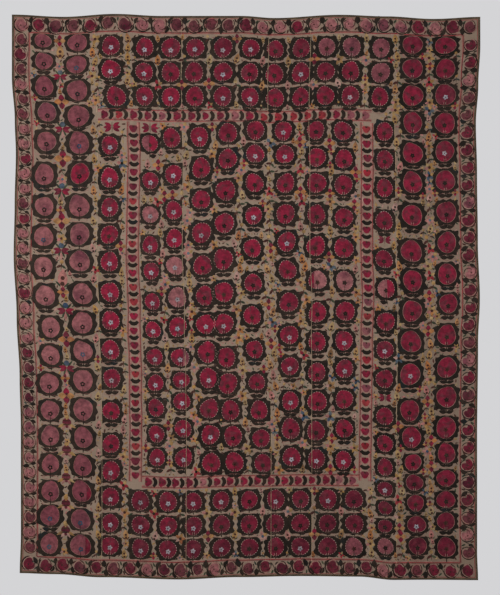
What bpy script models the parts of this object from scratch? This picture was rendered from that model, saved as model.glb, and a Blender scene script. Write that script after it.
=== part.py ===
"""Suzani: an embroidered cloth of six loom-width strips, bound round its edge, as it hangs.

The flat cloth is measured in metres from its top left corner: u runs across, v runs down.
hang() carries a flat point to where it hangs. The front faces -Y, Z is up, and the origin
is the middle of the top edge, in the plane that the cloth hangs against.
"""

import math

import bmesh
import bpy

# The cut of the cloth, in metres
CLOTH_WIDTH = 2.060
CLOTH_HEIGHT = 2.490
CLOTH_THICKNESS = 0.0015
STRIP_WIDTHS = {
    "panel_1_left": 0.366,
    "panel_2": 0.381,
    "panel_3": 0.383,
    "panel_4_half": 0.184,
    "panel_5": 0.383,
    "panel_6_right": 0.363,
}
SEAM_GAP = 0.0003

# The binding is a tape folded over the edge of the cloth
TAPE_WIDTH = 0.009
TAPE_THICKNESS = 0.0009
TAPE_CLEARANCE = 0.0003
FOLD_DEPTH = 0.0019

# How far the cloth's back stands off the plane that it hangs against. Rolls run upright,
# waves run along the hem, the sides curl forward, and the top sags between its high places.
LEAST_STANDOFF = 0.0014
ROLL_HEIGHT = 0.0060
ROLL_SPACING = 0.69
ROLL_PHASE = 1.1
ROLL_LEAN = 1.5
ROLL_SHARE_AT_TOP = 0.35
HEM_WAVE_HEIGHT = 0.0080
HEM_WAVE_SPACING = 0.47
HEM_WAVE_PHASE = 0.4
HEM_WAVE_REACH = 0.42
SIDE_CURL_HEIGHT = 0.0100
SIDE_CURL_REACH = 0.075
RIGHT_CURL_SHARE = 0.6
SAG_HEIGHT = 0.0045
SAG_REACH = 0.30

# The spacing of the solids' grid lines, and the angle past which an edge is a crease
GRID_STEP = 0.064
SHARP_ANGLE = math.radians(40)

# The outline as it hangs. Each row is a share of the way along the edge, and how far the
# edge there lies inside the cloth's full rectangle, in metres.
LEFT_DRAWN_IN = (
    (0.00, 0.000),
    (0.11, 0.000),
    (0.19, 0.013),
    (0.25, 0.018),
    (0.34, 0.013),
    (0.43, 0.009),
    (0.54, 0.022),
    (0.65, 0.035),
    (0.74, 0.040),
    (0.93, 0.040),
    (1.00, 0.035),
)
RIGHT_DRAWN_IN = (
    (0.00, 0.000),
    (0.05, 0.000),
    (0.12, 0.009),
    (0.19, 0.020),
    (0.28, 0.015),
    (0.40, 0.011),
    (0.50, 0.002),
    (0.58, 0.010),
    (0.75, 0.015),
    (0.95, 0.015),
    (1.00, 0.011),
)
TOP_DROP = (
    (0.00, 0.003),
    (0.11, 0.013),
    (0.22, 0.000),
    (0.32, 0.009),
    (0.49, 0.009),
    (0.56, 0.018),
    (0.70, 0.004),
    (0.80, 0.011),
    (0.90, 0.022),
    (1.00, 0.013),
)
BOTTOM_RISE = (
    (0.00, 0.031),
    (0.08, 0.027),
    (0.18, 0.012),
    (0.35, 0.004),
    (0.48, 0.013),
    (0.60, 0.018),
    (0.74, 0.016),
    (0.82, 0.001),
    (1.00, 0.001),
)

# Colours in linear light
COTTON_COLOUR = (0.40, 0.28, 0.16, 1.0)
TAPE_COLOUR = (0.045, 0.030, 0.022, 1.0)


def bump(turn):
    """A smooth swell from 0 to 1 and back, once a turn."""
    return (1 - math.cos(turn)) / 2


def along_edge(stations, share):
    """Value at a share of an edge, eased by a cosine between the table's stations."""
    for (start, low), (end, high) in zip(stations, stations[1:]):
        if share <= end:
            step = (share - start) / (end - start)
            return low + (high - low) * bump(math.pi * step)
    return stations[-1][1]


def standoff(u, v):
    """Distance of the cloth's back from the plane behind it: soft rolls and a wavy hem."""
    down = v / CLOTH_HEIGHT
    roll_size = ROLL_SHARE_AT_TOP + (1 - ROLL_SHARE_AT_TOP) * down
    rolls = roll_size * bump(math.tau * u / ROLL_SPACING + ROLL_PHASE + ROLL_LEAN * down)
    hem_fade = math.exp(-(((CLOTH_HEIGHT - v) / HEM_WAVE_REACH) ** 2))
    hem = hem_fade * bump(math.tau * u / HEM_WAVE_SPACING + HEM_WAVE_PHASE)
    left_curl = math.exp(-((u / SIDE_CURL_REACH) ** 2)) * bump(math.tau * down)
    right_fade = math.exp(-(((CLOTH_WIDTH - u) / SIDE_CURL_REACH) ** 2))
    right_curl = RIGHT_CURL_SHARE * right_fade * bump(2 * math.tau * down)
    droop = along_edge(TOP_DROP, u / CLOTH_WIDTH) / max(drop for _, drop in TOP_DROP)
    sag = droop * (v / SAG_REACH) * math.exp(1 - v / SAG_REACH)
    return (
        LEAST_STANDOFF
        + ROLL_HEIGHT * rolls
        + HEM_WAVE_HEIGHT * hem
        + SIDE_CURL_HEIGHT * (left_curl + right_curl)
        + SAG_HEIGHT * sag
    )


def hang(u, v, depth=0.0):
    """Where a flat point hangs. depth is its distance in front of the cloth's back."""
    across = u / CLOTH_WIDTH
    down = v / CLOTH_HEIGHT
    left = along_edge(LEFT_DRAWN_IN, down)
    right = CLOTH_WIDTH - along_edge(RIGHT_DRAWN_IN, down)
    top = along_edge(TOP_DROP, across)
    bottom = CLOTH_HEIGHT - along_edge(BOTTOM_RISE, across)
    x = left + (right - left) * across - CLOTH_WIDTH / 2
    z = along_edge(TOP_DROP, 0.5) - top - (bottom - top) * down
    return (x, -standoff(u, v) - depth, z)


def lines_between(start, end):
    """Evenly spaced grid lines, about GRID_STEP apart."""
    count = max(1, round((end - start) / GRID_STEP))
    return [start + (end - start) * i / count for i in range(count + 1)]


def edged_lines(start, end, bound_at_start, bound_at_end):
    """Grid lines of a cloth that stops inside the binding's fold, at each end that has it."""
    before = []
    after = []
    if bound_at_start:
        before.append(start + FOLD_DEPTH)
        start += TAPE_WIDTH + TAPE_CLEARANCE
    if bound_at_end:
        after.append(end - FOLD_DEPTH)
        end -= TAPE_WIDTH + TAPE_CLEARANCE
    return before + lines_between(start, end) + after


def strip_lines(edges, gap):
    """Grid lines across a strip, with half the seam's gap left at each sewn edge."""
    left, right = edges
    bound_at_left = left == 0.0
    bound_at_right = math.isclose(right, CLOTH_WIDTH)
    if not bound_at_left:
        left += gap / 2
    if not bound_at_right:
        right -= gap / 2
    return edged_lines(left, right, bound_at_left, bound_at_right)


def strip_edges():
    """Each strip's name with the flat places of its two long edges, seam to seam."""
    edges = {}
    left = 0.0
    for name, width in STRIP_WIDTHS.items():
        edges[name] = (left, left + width)
        left += width
    return edges


def new_object(name, mesh, material, collection):
    """Links a mesh as a smooth-shaded object with one material."""
    mesh.materials.append(material)
    mesh.shade_smooth()
    mesh.set_sharp_from_angle(angle=SHARP_ANGLE)
    piece = bpy.data.objects.new(name, mesh)
    collection.objects.link(piece)
    return piece


def grid_of(columns, rows):
    """A bmesh grid with each vertex's column and row number, in unit steps."""
    grid = bmesh.new()
    bmesh.ops.create_grid(grid, x_segments=columns, y_segments=rows, size=0.5)
    numbers = {
        vertex: (round((vertex.co.x + 0.5) * columns), round((vertex.co.y + 0.5) * rows))
        for vertex in grid.verts
    }
    return grid, numbers


def finish_mesh(grid, name):
    """Turns a bmesh into a mesh whose faces point outwards."""
    bmesh.ops.recalc_face_normals(grid, faces=grid.faces)
    mesh = bpy.data.meshes.new(name)
    grid.to_mesh(mesh)
    grid.free()
    return mesh


def make_panel(name, edges, material, collection):
    """One loom-width strip: a grid hung in place, then given the cloth's thickness."""
    across = strip_lines(edges, SEAM_GAP)
    down = edged_lines(0.0, CLOTH_HEIGHT, True, True)
    grid, numbers = grid_of(len(across) - 1, len(down) - 1)
    for vertex, (column, row) in numbers.items():
        vertex.co = hang(across[column], down[row])
    front = bmesh.ops.extrude_face_region(grid, geom=grid.faces[:])["geom"]
    front_points = [part for part in front if isinstance(part, bmesh.types.BMVert)]
    bmesh.ops.translate(grid, verts=front_points, vec=(0.0, -CLOTH_THICKNESS, 0.0))
    return new_object(name, finish_mesh(grid, name), material, collection)


def tape_profile():
    """The folded tape's middle line: its distance in from the edge, and its depth."""
    half = TAPE_THICKNESS / 2
    behind = -(TAPE_CLEARANCE + half)
    before = CLOTH_THICKNESS + TAPE_CLEARANCE + half
    shoulder = half * 3
    return (
        (TAPE_WIDTH, behind),
        (shoulder, behind),
        (half, CLOTH_THICKNESS / 2),
        (shoulder, before),
        (TAPE_WIDTH, before),
    )


def make_binding(name, place, lines, material, collection):
    """A side of the binding. place(inward, line) gives the flat point to hang."""
    profile = tape_profile()
    grid, numbers = grid_of(len(profile) - 1, len(lines) - 1)
    for vertex, (column, row) in numbers.items():
        inward, depth = profile[column]
        u, v = place(inward, lines[row])
        vertex.co = hang(u, v, depth)
    binding = new_object(name, finish_mesh(grid, name), material, collection)
    fold = binding.modifiers.new("tape thickness", "SOLIDIFY")
    fold.thickness = TAPE_THICKNESS
    fold.offset = 0.0
    fold.use_even_offset = True
    return binding


def binding_sides():
    """Each side of the binding: how an inward distance becomes a flat point, and its lines."""
    across = [0.0]
    for edges in strip_edges().values():
        lines = strip_lines(edges, 0.0)
        across += lines if edges[0] == 0.0 else lines[1:]
    across.append(CLOTH_WIDTH)
    corner = TAPE_WIDTH + 2 * TAPE_CLEARANCE
    inner = edged_lines(0.0, CLOTH_HEIGHT, True, True)[2:-2]
    down = [corner, *inner, CLOTH_HEIGHT - corner]
    return {
        "binding_top": (lambda inward, line: (line, inward), across),
        "binding_bottom": (lambda inward, line: (line, CLOTH_HEIGHT - inward), across),
        "binding_left": (lambda inward, line: (inward, line), down),
        "binding_right": (lambda inward, line: (CLOTH_WIDTH - inward, line), down),
    }


def make_material(name, colour, roughness):
    """A plain cloth material in one colour."""
    material = bpy.data.materials.new(name)
    material.use_nodes = True
    shader = material.node_tree.nodes["Principled BSDF"]
    shader.inputs["Base Color"].default_value = colour
    shader.inputs["Roughness"].default_value = roughness
    shader.inputs["Metallic"].default_value = 0.0
    material.diffuse_color = colour
    return material


def main():
    """Builds the hung cloth from its strips and its binding."""
    for obj in list(bpy.data.objects):
        bpy.data.objects.remove(obj, do_unlink=True)
    collection = bpy.data.collections.new("suzani")
    bpy.context.scene.collection.children.link(collection)
    cotton = make_material("hand_woven_cotton", COTTON_COLOUR, 0.9)
    tape = make_material("edging_tape", TAPE_COLOUR, 0.85)
    for name, edges in strip_edges().items():
        make_panel(name, edges, cotton, collection)
    for name, (place, lines) in binding_sides().items():
        make_binding(name, place, lines, tape, collection)


main()
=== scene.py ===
"""Looks of a suzani: cotton strips sewn edge to edge and embroidered all over in silk.

Flat places are in metres from the cloth's top left corner, u across and v down, and HungCloth
carries them to where the cloth hangs. Each stitched shape is low, raised and closed, and is
worked out with its likes as whole arrays. Each colour of thread is one piece.
"""

from __future__ import annotations

import logging
import math
from dataclasses import dataclass, field, replace
from enum import Enum
from functools import partial
from typing import ClassVar

import bpy
import numpy as np
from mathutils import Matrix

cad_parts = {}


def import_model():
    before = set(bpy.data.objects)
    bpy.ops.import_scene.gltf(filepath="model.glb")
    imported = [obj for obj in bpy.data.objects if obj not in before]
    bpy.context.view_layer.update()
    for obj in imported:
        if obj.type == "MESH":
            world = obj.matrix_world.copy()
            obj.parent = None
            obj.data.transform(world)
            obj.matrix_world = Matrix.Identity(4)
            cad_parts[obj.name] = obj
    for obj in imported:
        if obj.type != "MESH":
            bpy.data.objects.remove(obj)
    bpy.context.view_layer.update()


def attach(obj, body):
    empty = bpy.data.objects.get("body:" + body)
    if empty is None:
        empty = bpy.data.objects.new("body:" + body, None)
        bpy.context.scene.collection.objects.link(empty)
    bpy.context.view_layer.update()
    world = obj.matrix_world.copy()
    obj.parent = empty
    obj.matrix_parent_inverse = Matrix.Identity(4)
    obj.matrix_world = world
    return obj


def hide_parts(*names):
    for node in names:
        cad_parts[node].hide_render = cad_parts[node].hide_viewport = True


Array = np.ndarray
Colour = tuple[int, int, int]
Stations = tuple[tuple[float, float], ...]
Socket = bpy.types.NodeSocket
Piece = bpy.types.Object
LOG = logging.getLogger("suzani")
BODY = "root"
SEED = 1880
MM = 0.001


# Cloth as it hangs


@dataclass(frozen=True)
class HungCloth:
    """The whole cloth, flat and as it hangs, with the part's own sizes.

    Each station of an edge is a share of the way along it, and how far the edge there lies
    inside the cloth's full rectangle.
    """

    width: float = 2.060
    height: float = 2.490
    thickness: float = 0.0015
    left_drawn_in: Stations = (
        (0.00, 0.000), (0.11, 0.000), (0.19, 0.013), (0.25, 0.018), (0.34, 0.013), (0.43, 0.009),
        (0.54, 0.022), (0.65, 0.035), (0.74, 0.040), (0.93, 0.040), (1.00, 0.035),
    )
    right_drawn_in: Stations = (
        (0.00, 0.000), (0.05, 0.000), (0.12, 0.009), (0.19, 0.020), (0.28, 0.015), (0.40, 0.011),
        (0.50, 0.002), (0.58, 0.010), (0.75, 0.015), (0.95, 0.015), (1.00, 0.011),
    )
    top_drop: Stations = (
        (0.00, 0.003), (0.11, 0.013), (0.22, 0.000), (0.32, 0.009), (0.49, 0.009), (0.56, 0.018),
        (0.70, 0.004), (0.80, 0.011), (0.90, 0.022), (1.00, 0.013),
    )
    bottom_rise: Stations = (
        (0.00, 0.031), (0.08, 0.027), (0.18, 0.012), (0.35, 0.004), (0.48, 0.013), (0.60, 0.018),
        (0.74, 0.016), (0.82, 0.001), (1.00, 0.001),
    )
    least_standoff: float = 0.0014
    roll_height: float = 0.0060
    roll_spacing: float = 0.69
    roll_phase: float = 1.1
    roll_lean: float = 1.5
    roll_share_at_top: float = 0.35
    hem_wave_height: float = 0.0080
    hem_wave_spacing: float = 0.47
    hem_wave_phase: float = 0.4
    hem_wave_reach: float = 0.42
    side_curl_height: float = 0.0100
    side_curl_reach: float = 0.075
    right_curl_share: float = 0.6
    sag_height: float = 0.0045
    sag_reach: float = 0.30
    cockle_height: float = 0.0005

    def along_edge(self, stations: Stations, share: Array) -> Array:
        """Value along an edge: each pair of stations is joined by half a cosine wave.

        Args:
            stations: Shares of the way along the edge, with their values.
            share: Where to read, from 0 to 1.

        Returns:
            The value at each share.
        """
        shares, values = np.array(stations).T
        start = np.clip(np.searchsorted(shares, share, side="right") - 1, 0, len(shares) - 2)
        step = np.clip((share - shares[start]) / (shares[start + 1] - shares[start]), 0, 1)
        return values[start] + (values[start + 1] - values[start]) * bump(np.pi * step)

    def standoff(self, u: Array, v: Array) -> Array:
        """How far the cloth's back stands off the plane behind it.

        The sum of upright rolls that grow downwards, waves that fade above the hem, curls that
        fade inwards from the sides, and a sag that fades below the top edge's low places.

        Args:
            u: Flat places across.
            v: Flat places down.

        Returns:
            The distance at each place.
        """
        down = v / self.height
        roll_size = self.roll_share_at_top + (1 - self.roll_share_at_top) * down
        turn = math.tau * u / self.roll_spacing + self.roll_phase + self.roll_lean * down
        rolls = roll_size * bump(turn)
        hem_fade = np.exp(-(((self.height - v) / self.hem_wave_reach) ** 2))
        hem = hem_fade * bump(math.tau * u / self.hem_wave_spacing + self.hem_wave_phase)
        left_curl = np.exp(-((u / self.side_curl_reach) ** 2)) * bump(math.tau * down)
        right_fade = np.exp(-(((self.width - u) / self.side_curl_reach) ** 2))
        right_curl = self.right_curl_share * right_fade * bump(2 * math.tau * down)
        most_drop = max(drop for _, drop in self.top_drop)
        droop = self.along_edge(self.top_drop, u / self.width) / most_drop
        sag = droop * (v / self.sag_reach) * np.exp(1 - v / self.sag_reach)
        return (
            self.least_standoff
            + self.roll_height * rolls
            + self.hem_wave_height * hem
            + self.side_curl_height * (left_curl + right_curl)
            + self.sag_height * sag
        )

    def cockle(self, u: Array, v: Array) -> Array:
        """Fine unevenness where the stitching draws the cotton up: a sum of five sine waves.

        Args:
            u: Flat places across.
            v: Flat places down.

        Returns:
            How far forward the cloth lies there, never less than zero.
        """
        waves = ((41, 17, 0.3), (-23, 38, 1.9), (62, -9, 4.1), (12, 66, 2.2), (53, 47, 5.3))
        total = sum(np.sin(across * u + down * v + phase) for across, down, phase in waves)
        return self.cockle_height * (1 + total / len(waves))

    def hang(self, flat: Array, lift: Array) -> Array:
        """Carries flat points to where they hang.

        Across and down, a point keeps its share of the way between the edges. Forwards, it
        lies off the wall by the standoff, the cockle, the cloth's thickness and its lift.

        Args:
            flat: Flat places, the last axis holding u and v.
            lift: How far each point lies in front of the cloth's face.

        Returns:
            The points, the last axis holding x, y and z.
        """
        u, v = flat[..., 0], flat[..., 1]
        across, down = u / self.width, v / self.height
        left = self.along_edge(self.left_drawn_in, down)
        right = self.width - self.along_edge(self.right_drawn_in, down)
        top = self.along_edge(self.top_drop, across)
        bottom = self.height - self.along_edge(self.bottom_rise, across)
        x = left + (right - left) * across - self.width / 2
        middle_drop = self.along_edge(self.top_drop, np.array(0.5))
        z = middle_drop - top - (bottom - top) * down
        forward = self.standoff(u, v) + self.cockle(u, v) + self.thickness + lift
        return np.stack([x, -forward, z], axis=-1)


def bump(turn: Array) -> Array:
    """A smooth swell from 0 to 1 and back, once a turn: half of one less the cosine."""
    return (1 - np.cos(turn)) / 2


def bell(turn: Array, width: float) -> Array:
    """A bell round angle 0: e to the minus square of the angle, wrapped, over its width."""
    return np.exp(-((np.angle(np.exp(1j * turn)) / width) ** 2))


# Shapes on the cloth


@dataclass
class Batch:
    """Like closed shapes, each a ring of points carried from its first row to its last.

    Attributes:
        flat: Flat places, as shape, row, point of the ring, and u or v.
        lift: Lift of each point off the cloth's face.
        thread: Thread coordinates in metres, across and along the thread, with one more point
            to each ring, where the ring closes.
        tone: A number from 0 to 1 for each shape, which shades its colour.
        looped: True if the last row joins the first. Otherwise both ends are closed by fans.
    """

    flat: Array
    lift: Array
    thread: Array
    tone: Array
    looped: bool = False

    def clipped(self, low: Array, high: Array, ends: tuple[float, float] = (0.0795, 2.4105)) -> Batch:
        """The same shapes, held between two upright lines each, and inside the outer border.

        Args:
            low: The least u for each shape.
            high: The greatest u for each shape.
            ends: The least and greatest v.

        Returns:
            A new batch whose points beyond a line lie on it.
        """
        flat = self.flat.copy()
        flat[..., 0] = np.clip(flat[..., 0], low[:, None, None], high[:, None, None])
        flat[..., 1] = np.clip(flat[..., 1], *ends)
        return replace(self, flat=flat)

    def where(self, keep: Array) -> Batch:
        """The shapes that a test keeps."""
        return Batch(*(values[keep] for values in list(vars(self).values())[:4]), self.looped)


@dataclass
class Stitches:
    """All the shapes of one piece, turned into a single mesh."""

    cloth: HungCloth
    batches: list[Batch] = field(default_factory=list)

    def add(self, batch: Batch) -> None:
        """Gathers one more batch, if it holds any shape."""
        if len(batch.flat):
            self.batches.append(batch)

    def corners(self, batch: Batch) -> tuple[Array, Array, Array, Array]:
        """Lays out one batch's points and faces.

        Each face is given as four corners, and a fan's face repeats its last corner. A shape
        that comes out inside out has its faces turned round.

        Args:
            batch: The shapes.

        Returns:
            The points, each face's four point numbers, their thread coordinates, and the
            tone of each point.
        """
        n, rows, ring = batch.lift.shape
        points = self.cloth.hang(batch.flat, batch.lift).reshape(n, rows * ring, 3)
        number = np.arange(rows * ring).reshape(rows, ring)
        after = np.roll(number, -1, axis=1)
        row = np.arange(rows if batch.looped else rows - 1)
        nxt = (row + 1) % rows
        faces = np.stack([number[row], after[row], after[nxt], number[nxt]], -1).reshape(-1, 4)
        near, far = batch.thread[:, row], batch.thread[:, row + 1]
        thread = np.stack([near[:, :, :-1], near[:, :, 1:], far[:, :, 1:], far[:, :, :-1]], 3)
        thread = thread.reshape(n, -1, 4, 2)
        if not batch.looped:
            ends = np.stack([points[:, number[0]].mean(1), points[:, number[-1]].mean(1)], 1)
            first = np.full(ring, rows * ring)
            fans = [
                np.stack([after[0], number[0], first, first], -1),
                np.stack([number[-1], after[-1], first + 1, first + 1], -1),
            ]
            shades = [self.fan_thread(batch.thread[:, end]) for end in (0, -1)]
            shades[0] = shades[0][:, :, [1, 0, 2, 3]]
            points = np.concatenate([points, ends], 1)
            faces = np.concatenate([faces, *fans])
            thread = np.concatenate([thread, *shades], 1)
        wrong = (self.volumes(points, faces) < 0)[:, None, None]
        turned = [1, 0, 3, 2]
        starts = np.arange(n)[:, None, None] * points.shape[1]
        thread = np.where(wrong[..., None], thread[..., turned, :], thread)
        faces = np.where(wrong, faces[:, turned], faces) + starts
        tone = np.repeat(batch.tone, points.shape[1])
        return points.reshape(-1, 3), faces.reshape(-1, 4), thread.reshape(-1, 4, 2), tone

    @staticmethod
    def fan_thread(ring: Array) -> Array:
        """Thread coordinates of a fan's faces: two corners of the ring, and their middle twice."""
        near, far = ring[:, :-1], ring[:, 1:]
        middle = (near + far) / 2
        return np.stack([near, far, middle, middle], 2)

    @staticmethod
    def volumes(points: Array, faces: Array) -> Array:
        """Signed volume of each shape: a sum of triple products of its triangles' corners."""
        a, b, c, d = (points[:, faces[:, i]] - points.mean(1)[:, None] for i in range(4))
        one = np.einsum("nfi,nfi->n", a, np.cross(b, c))
        two = np.einsum("nfi,nfi->n", a, np.cross(c, d))
        return one + two

    def mesh(self, name: str) -> bpy.types.Mesh:
        """Joins every batch into one mesh, without the faces that a clip has flattened.

        Args:
            name: The mesh's name.

        Returns:
            A smooth-shaded mesh with its thread map, its bake map and its tones.
        """
        parts = [self.corners(batch) for batch in self.batches]
        starts = np.cumsum([0] + [len(points) for points, *_ in parts])
        points = np.concatenate([part[0] for part in parts])
        faces = np.concatenate([part[1] + start for part, start in zip(parts, starts)])
        thread = np.concatenate([part[2] for part in parts])
        tone = np.concatenate([part[3] for part in parts])
        return shaped_mesh(name, points, faces, thread, {"tone": tone})


def shaped_mesh(
    name: str, points: Array, faces: Array, thread: Array, numbers: dict[str, Array]
) -> bpy.types.Mesh:
    """Makes a mesh from arrays, with two maps: Thread, and OFBake for its bake.

    The bake map lays the faces that look forwards side by side with those that look back,
    each as seen from the front.

    Args:
        name: The mesh's name.
        points: Where the points are.
        faces: Four point numbers for each face; a triangle repeats its last.
        thread: Thread coordinates of each face's corners.
        numbers: Named numbers or colours, one for each point.

    Returns:
        The mesh, smooth but for its creases.
    """
    spans = points[faces[:, 2]] - points[faces[:, 0]]
    normals = np.cross(spans, points[faces[:, 3]] - points[faces[:, 1]])
    real = np.linalg.norm(normals, axis=1) > 2e-10
    faces, thread, normals = faces[real], thread[real], normals[real]
    used, packed = np.unique(faces, return_inverse=True)
    faces, points = packed.reshape(-1, 4), points[used]
    keep = np.ones(faces.shape, bool)
    keep[:, 3] = faces[:, 3] != faces[:, 2]
    mesh = bpy.data.meshes.new(name)
    mesh.vertices.add(len(points))
    mesh.vertices.foreach_set("co", points.astype(np.float32).ravel())
    mesh.loops.add(int(keep.sum()))
    mesh.loops.foreach_set("vertex_index", faces[keep].astype(np.int32))
    mesh.polygons.add(len(faces))
    starts = np.concatenate([[0], np.cumsum(keep.sum(1))[:-1]])
    mesh.polygons.foreach_set("loop_start", starts.astype(np.int32))
    mesh.update(calc_edges=True)
    low, high = points.min(0), points.max(0)
    share = ((points - low) / np.maximum(high - low, 1e-9))[:, [0, 2]][faces]
    looks_back = (normals[:, 1] > 0)[:, None]
    back_start, edge = 0.9, 0.01
    if numbers.get("reverse") is not None:
        back_start = 0.5
    width = np.where(looks_back, 1 - back_start, back_start) - 2 * edge
    share[..., 0] = np.where(looks_back, back_start, 0) + edge + width * share[..., 0]
    share[..., 1] = edge + (1 - 2 * edge) * share[..., 1]
    for title, values in (("Thread", thread), ("OFBake", share)):
        layer = mesh.uv_layers.new(name=title, do_init=False)
        layer.uv.foreach_set("vector", values[keep].astype(np.float32).ravel())
    mesh.uv_layers["Thread"].active_render = True
    for title, values in numbers.items():
        kind, key = ("FLOAT", "value") if values.ndim == 1 else ("FLOAT_COLOR", "color")
        made = mesh.attributes.new(title, kind, "POINT")
        made.data.foreach_set(key, values[used].astype(np.float32).ravel())
    mesh.shade_smooth()
    mesh.set_sharp_from_angle(angle=math.radians(55))
    return mesh


def ribbon(
    left: Array, right: Array, height: float | Array, tone: Array,
    sink: float = 0.3 * MM, base: float = 0.0, looped: bool = False, ridged: bool = False,
) -> Batch:
    """Low ribbons between two edges, flat-topped or ridged, open at the ends or looped.

    Each ring of points goes from the left edge, sunk into the cloth, over the crown's two
    points, or one where it is ridged, to the right edge, and back below.

    Args:
        left: Left edges, as shape, station, and u or v.
        right: Right edges, alike.
        height: Height of the crown off the cloth.
        tone: Shade of each shape.
        sink: How far the edges lie below the base.
        base: Height that the edges start from, for a ribbon that lies on other stitches.
        looped: True if the ribbons close on themselves.
        ridged: True for a crown of one point, as suits a fine line.

    Returns:
        The batch.
    """
    shares = np.array([0.0, 0.5, 1.0] if ridged else [0.0, 0.22, 0.78, 1.0])
    flat = left[:, :, None] + (right - left)[:, :, None] * shares[:, None]
    crown = np.where((shares > 0) & (shares < 1), 1.0, 0.0)
    height = np.broadcast_to(np.asarray(height, float), flat.shape[:2])[..., None]
    lift = base - sink + (height - base + sink) * crown
    middle = (left + right) / 2
    if looped:
        middle = np.concatenate([middle, middle[:, :1]], 1)
        left, right = (np.concatenate([edge, edge[:, :1]], 1) for edge in (left, right))
    steps = np.linalg.norm(np.diff(middle, axis=1), axis=-1)
    along = np.concatenate([np.zeros((len(middle), 1)), np.cumsum(steps, 1)], 1)
    wide = np.linalg.norm(right - left, axis=-1)
    ring = np.concatenate([shares, [2.0]])
    across = wide[..., None] * ring
    thread = np.stack([across, np.broadcast_to(along[..., None], across.shape)], -1)
    return Batch(flat, lift, thread, tone, looped)


def line(path: Array, width: float | Array, height: float, tone: Array, **more: float) -> Batch:
    """Ribbons along paths: each edge lies half the width to one side of the path.

    Args:
        path: Middle lines, as shape, station, and u or v.
        width: Width at each station, or everywhere.
        height: Height of the crown.
        tone: Shade of each shape.
        more: What ribbon takes besides.

    Returns:
        The batch.
    """
    ahead = np.gradient(path, axis=1)
    ahead /= np.maximum(np.linalg.norm(ahead, axis=-1, keepdims=True), 1e-9)
    side = np.stack([-ahead[..., 1], ahead[..., 0]], -1)
    half = np.broadcast_to(np.asarray(width, float), path.shape[:2])[..., None] / 2
    return ribbon(path - side * half, path + side * half, height, tone, **more)


def dome(
    rim: Array, middle: Array, height: float, tone: Array,
    sink: float = 0.3 * MM, base: float = 0.0,
    rings: tuple[float, ...] = (0.25, 0.75, 0.93, 1.0),
) -> Batch:
    """Low domes over star-shaped outlines: rings shrunk from the rim towards the middle.

    Args:
        rim: Outlines, as shape, point, and u or v.
        middle: The point that each outline is shrunk towards.
        height: Height at the middle. A ring at share s of the way out is lifted by
            the height times one less s to the power of five.
        tone: Shade of each shape.
        sink: How far the rim lies below the base.
        base: Height that the rim starts from.
        rings: Shares of the way out.

    Returns:
        The batch.
    """
    share = np.array(rings)
    spokes = rim - middle[:, None]
    flat = middle[:, None, None] + spokes[:, None] * share[:, None, None]
    rise = 1 - 0.8 * share**5
    rise[-1] = 0.0
    lift = base - sink + (height - base + sink) * rise
    lift = np.broadcast_to(lift[:, None], flat.shape[:3])
    reach = np.linalg.norm(spokes, axis=-1)
    reach = np.concatenate([reach, reach[:, :1]], 1)
    turn = np.linspace(0, math.tau, reach.shape[1])
    across = reach[:, None] * share[:, None]
    along = np.broadcast_to(turn * reach.mean(1)[:, None], reach.shape)
    thread = np.stack([across, np.broadcast_to(along[:, None], across.shape)], -1)
    return Batch(flat, lift, thread, tone)


def circle(points: int) -> Array:
    """Angles of evenly spaced points round a circle, the first to the right, going down."""
    return np.arange(points) * math.tau / points


def polar(turn: Array, reach: Array) -> Array:
    """Flat offsets of points at an angle and a distance."""
    return np.stack([np.cos(turn) * reach, np.sin(turn) * reach], -1)


def placed(local: Array, centre: Array, turn: Array, size: Array | float = 1.0) -> Array:
    """Turns, sizes and moves local shapes to their places.

    Args:
        local: One shape as point and x or y, or one for each place.
        centre: Places, as place, and u or v.
        turn: Turn of each place, in radians, from u towards v.
        size: Size of each place, or of all.

    Returns:
        Flat points, as place, point, and u or v.
    """
    local = np.broadcast_to(local, (len(centre), *local.shape[-2:]))
    local = local * np.broadcast_to(np.asarray(size, float), len(centre))[:, None, None]
    cos, sin = np.cos(turn)[:, None], np.sin(turn)[:, None]
    x = local[..., 0] * cos - local[..., 1] * sin
    y = local[..., 0] * sin + local[..., 1] * cos
    return np.stack([x, y], -1) + centre[:, None]


def leaf_outline(length: float, width: float, bend: float = 0.0, count: int = 7) -> Array:
    """Middle line of a leaf, with its width at each station as a third column.

    The line is a shallow parabola, and the width is a sine that leans towards the root.

    Args:
        length: From root to tip.
        width: At the widest place.
        bend: How far the tip turns aside.
        count: Number of stations.

    Returns:
        Stations, as x, y and width.
    """
    share = np.linspace(0.04, 0.97, count)
    wide = width * np.sin(np.pi * share**0.85) ** 0.8 + 0.25 * MM
    return np.stack([share * length, bend * share**2, wide], -1)


def leaves(
    outline: Array, centre: Array, turn: Array, size: Array | float, height: float, tone: Array,
    **more: float,
) -> Batch:
    """Leaves, petals or dashes of one outline at many places.

    Args:
        outline: Stations, as x, y and width.
        centre: Where the roots are.
        turn: Which way each leaf points.
        size: Size of each leaf.
        height: Height of the crown.
        tone: Shade of each leaf.
        more: What ribbon takes besides.

    Returns:
        The batch.
    """
    size = np.broadcast_to(np.asarray(size, float), len(centre))
    path = placed(outline[:, :2], centre, turn, size)
    return line(path, outline[:, 2] * size[:, None], height, tone, **more)


# Threads and finishes


def linear(colour: Colour) -> tuple[float, float, float, float]:
    """A screen colour in linear light: each channel by the sRGB curve."""
    share = [channel / 255 for channel in colour]
    light = [s / 12.92 if s <= 0.04045 else ((s + 0.055) / 1.055) ** 2.4 for s in share]
    return (*light, 1.0)


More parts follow.
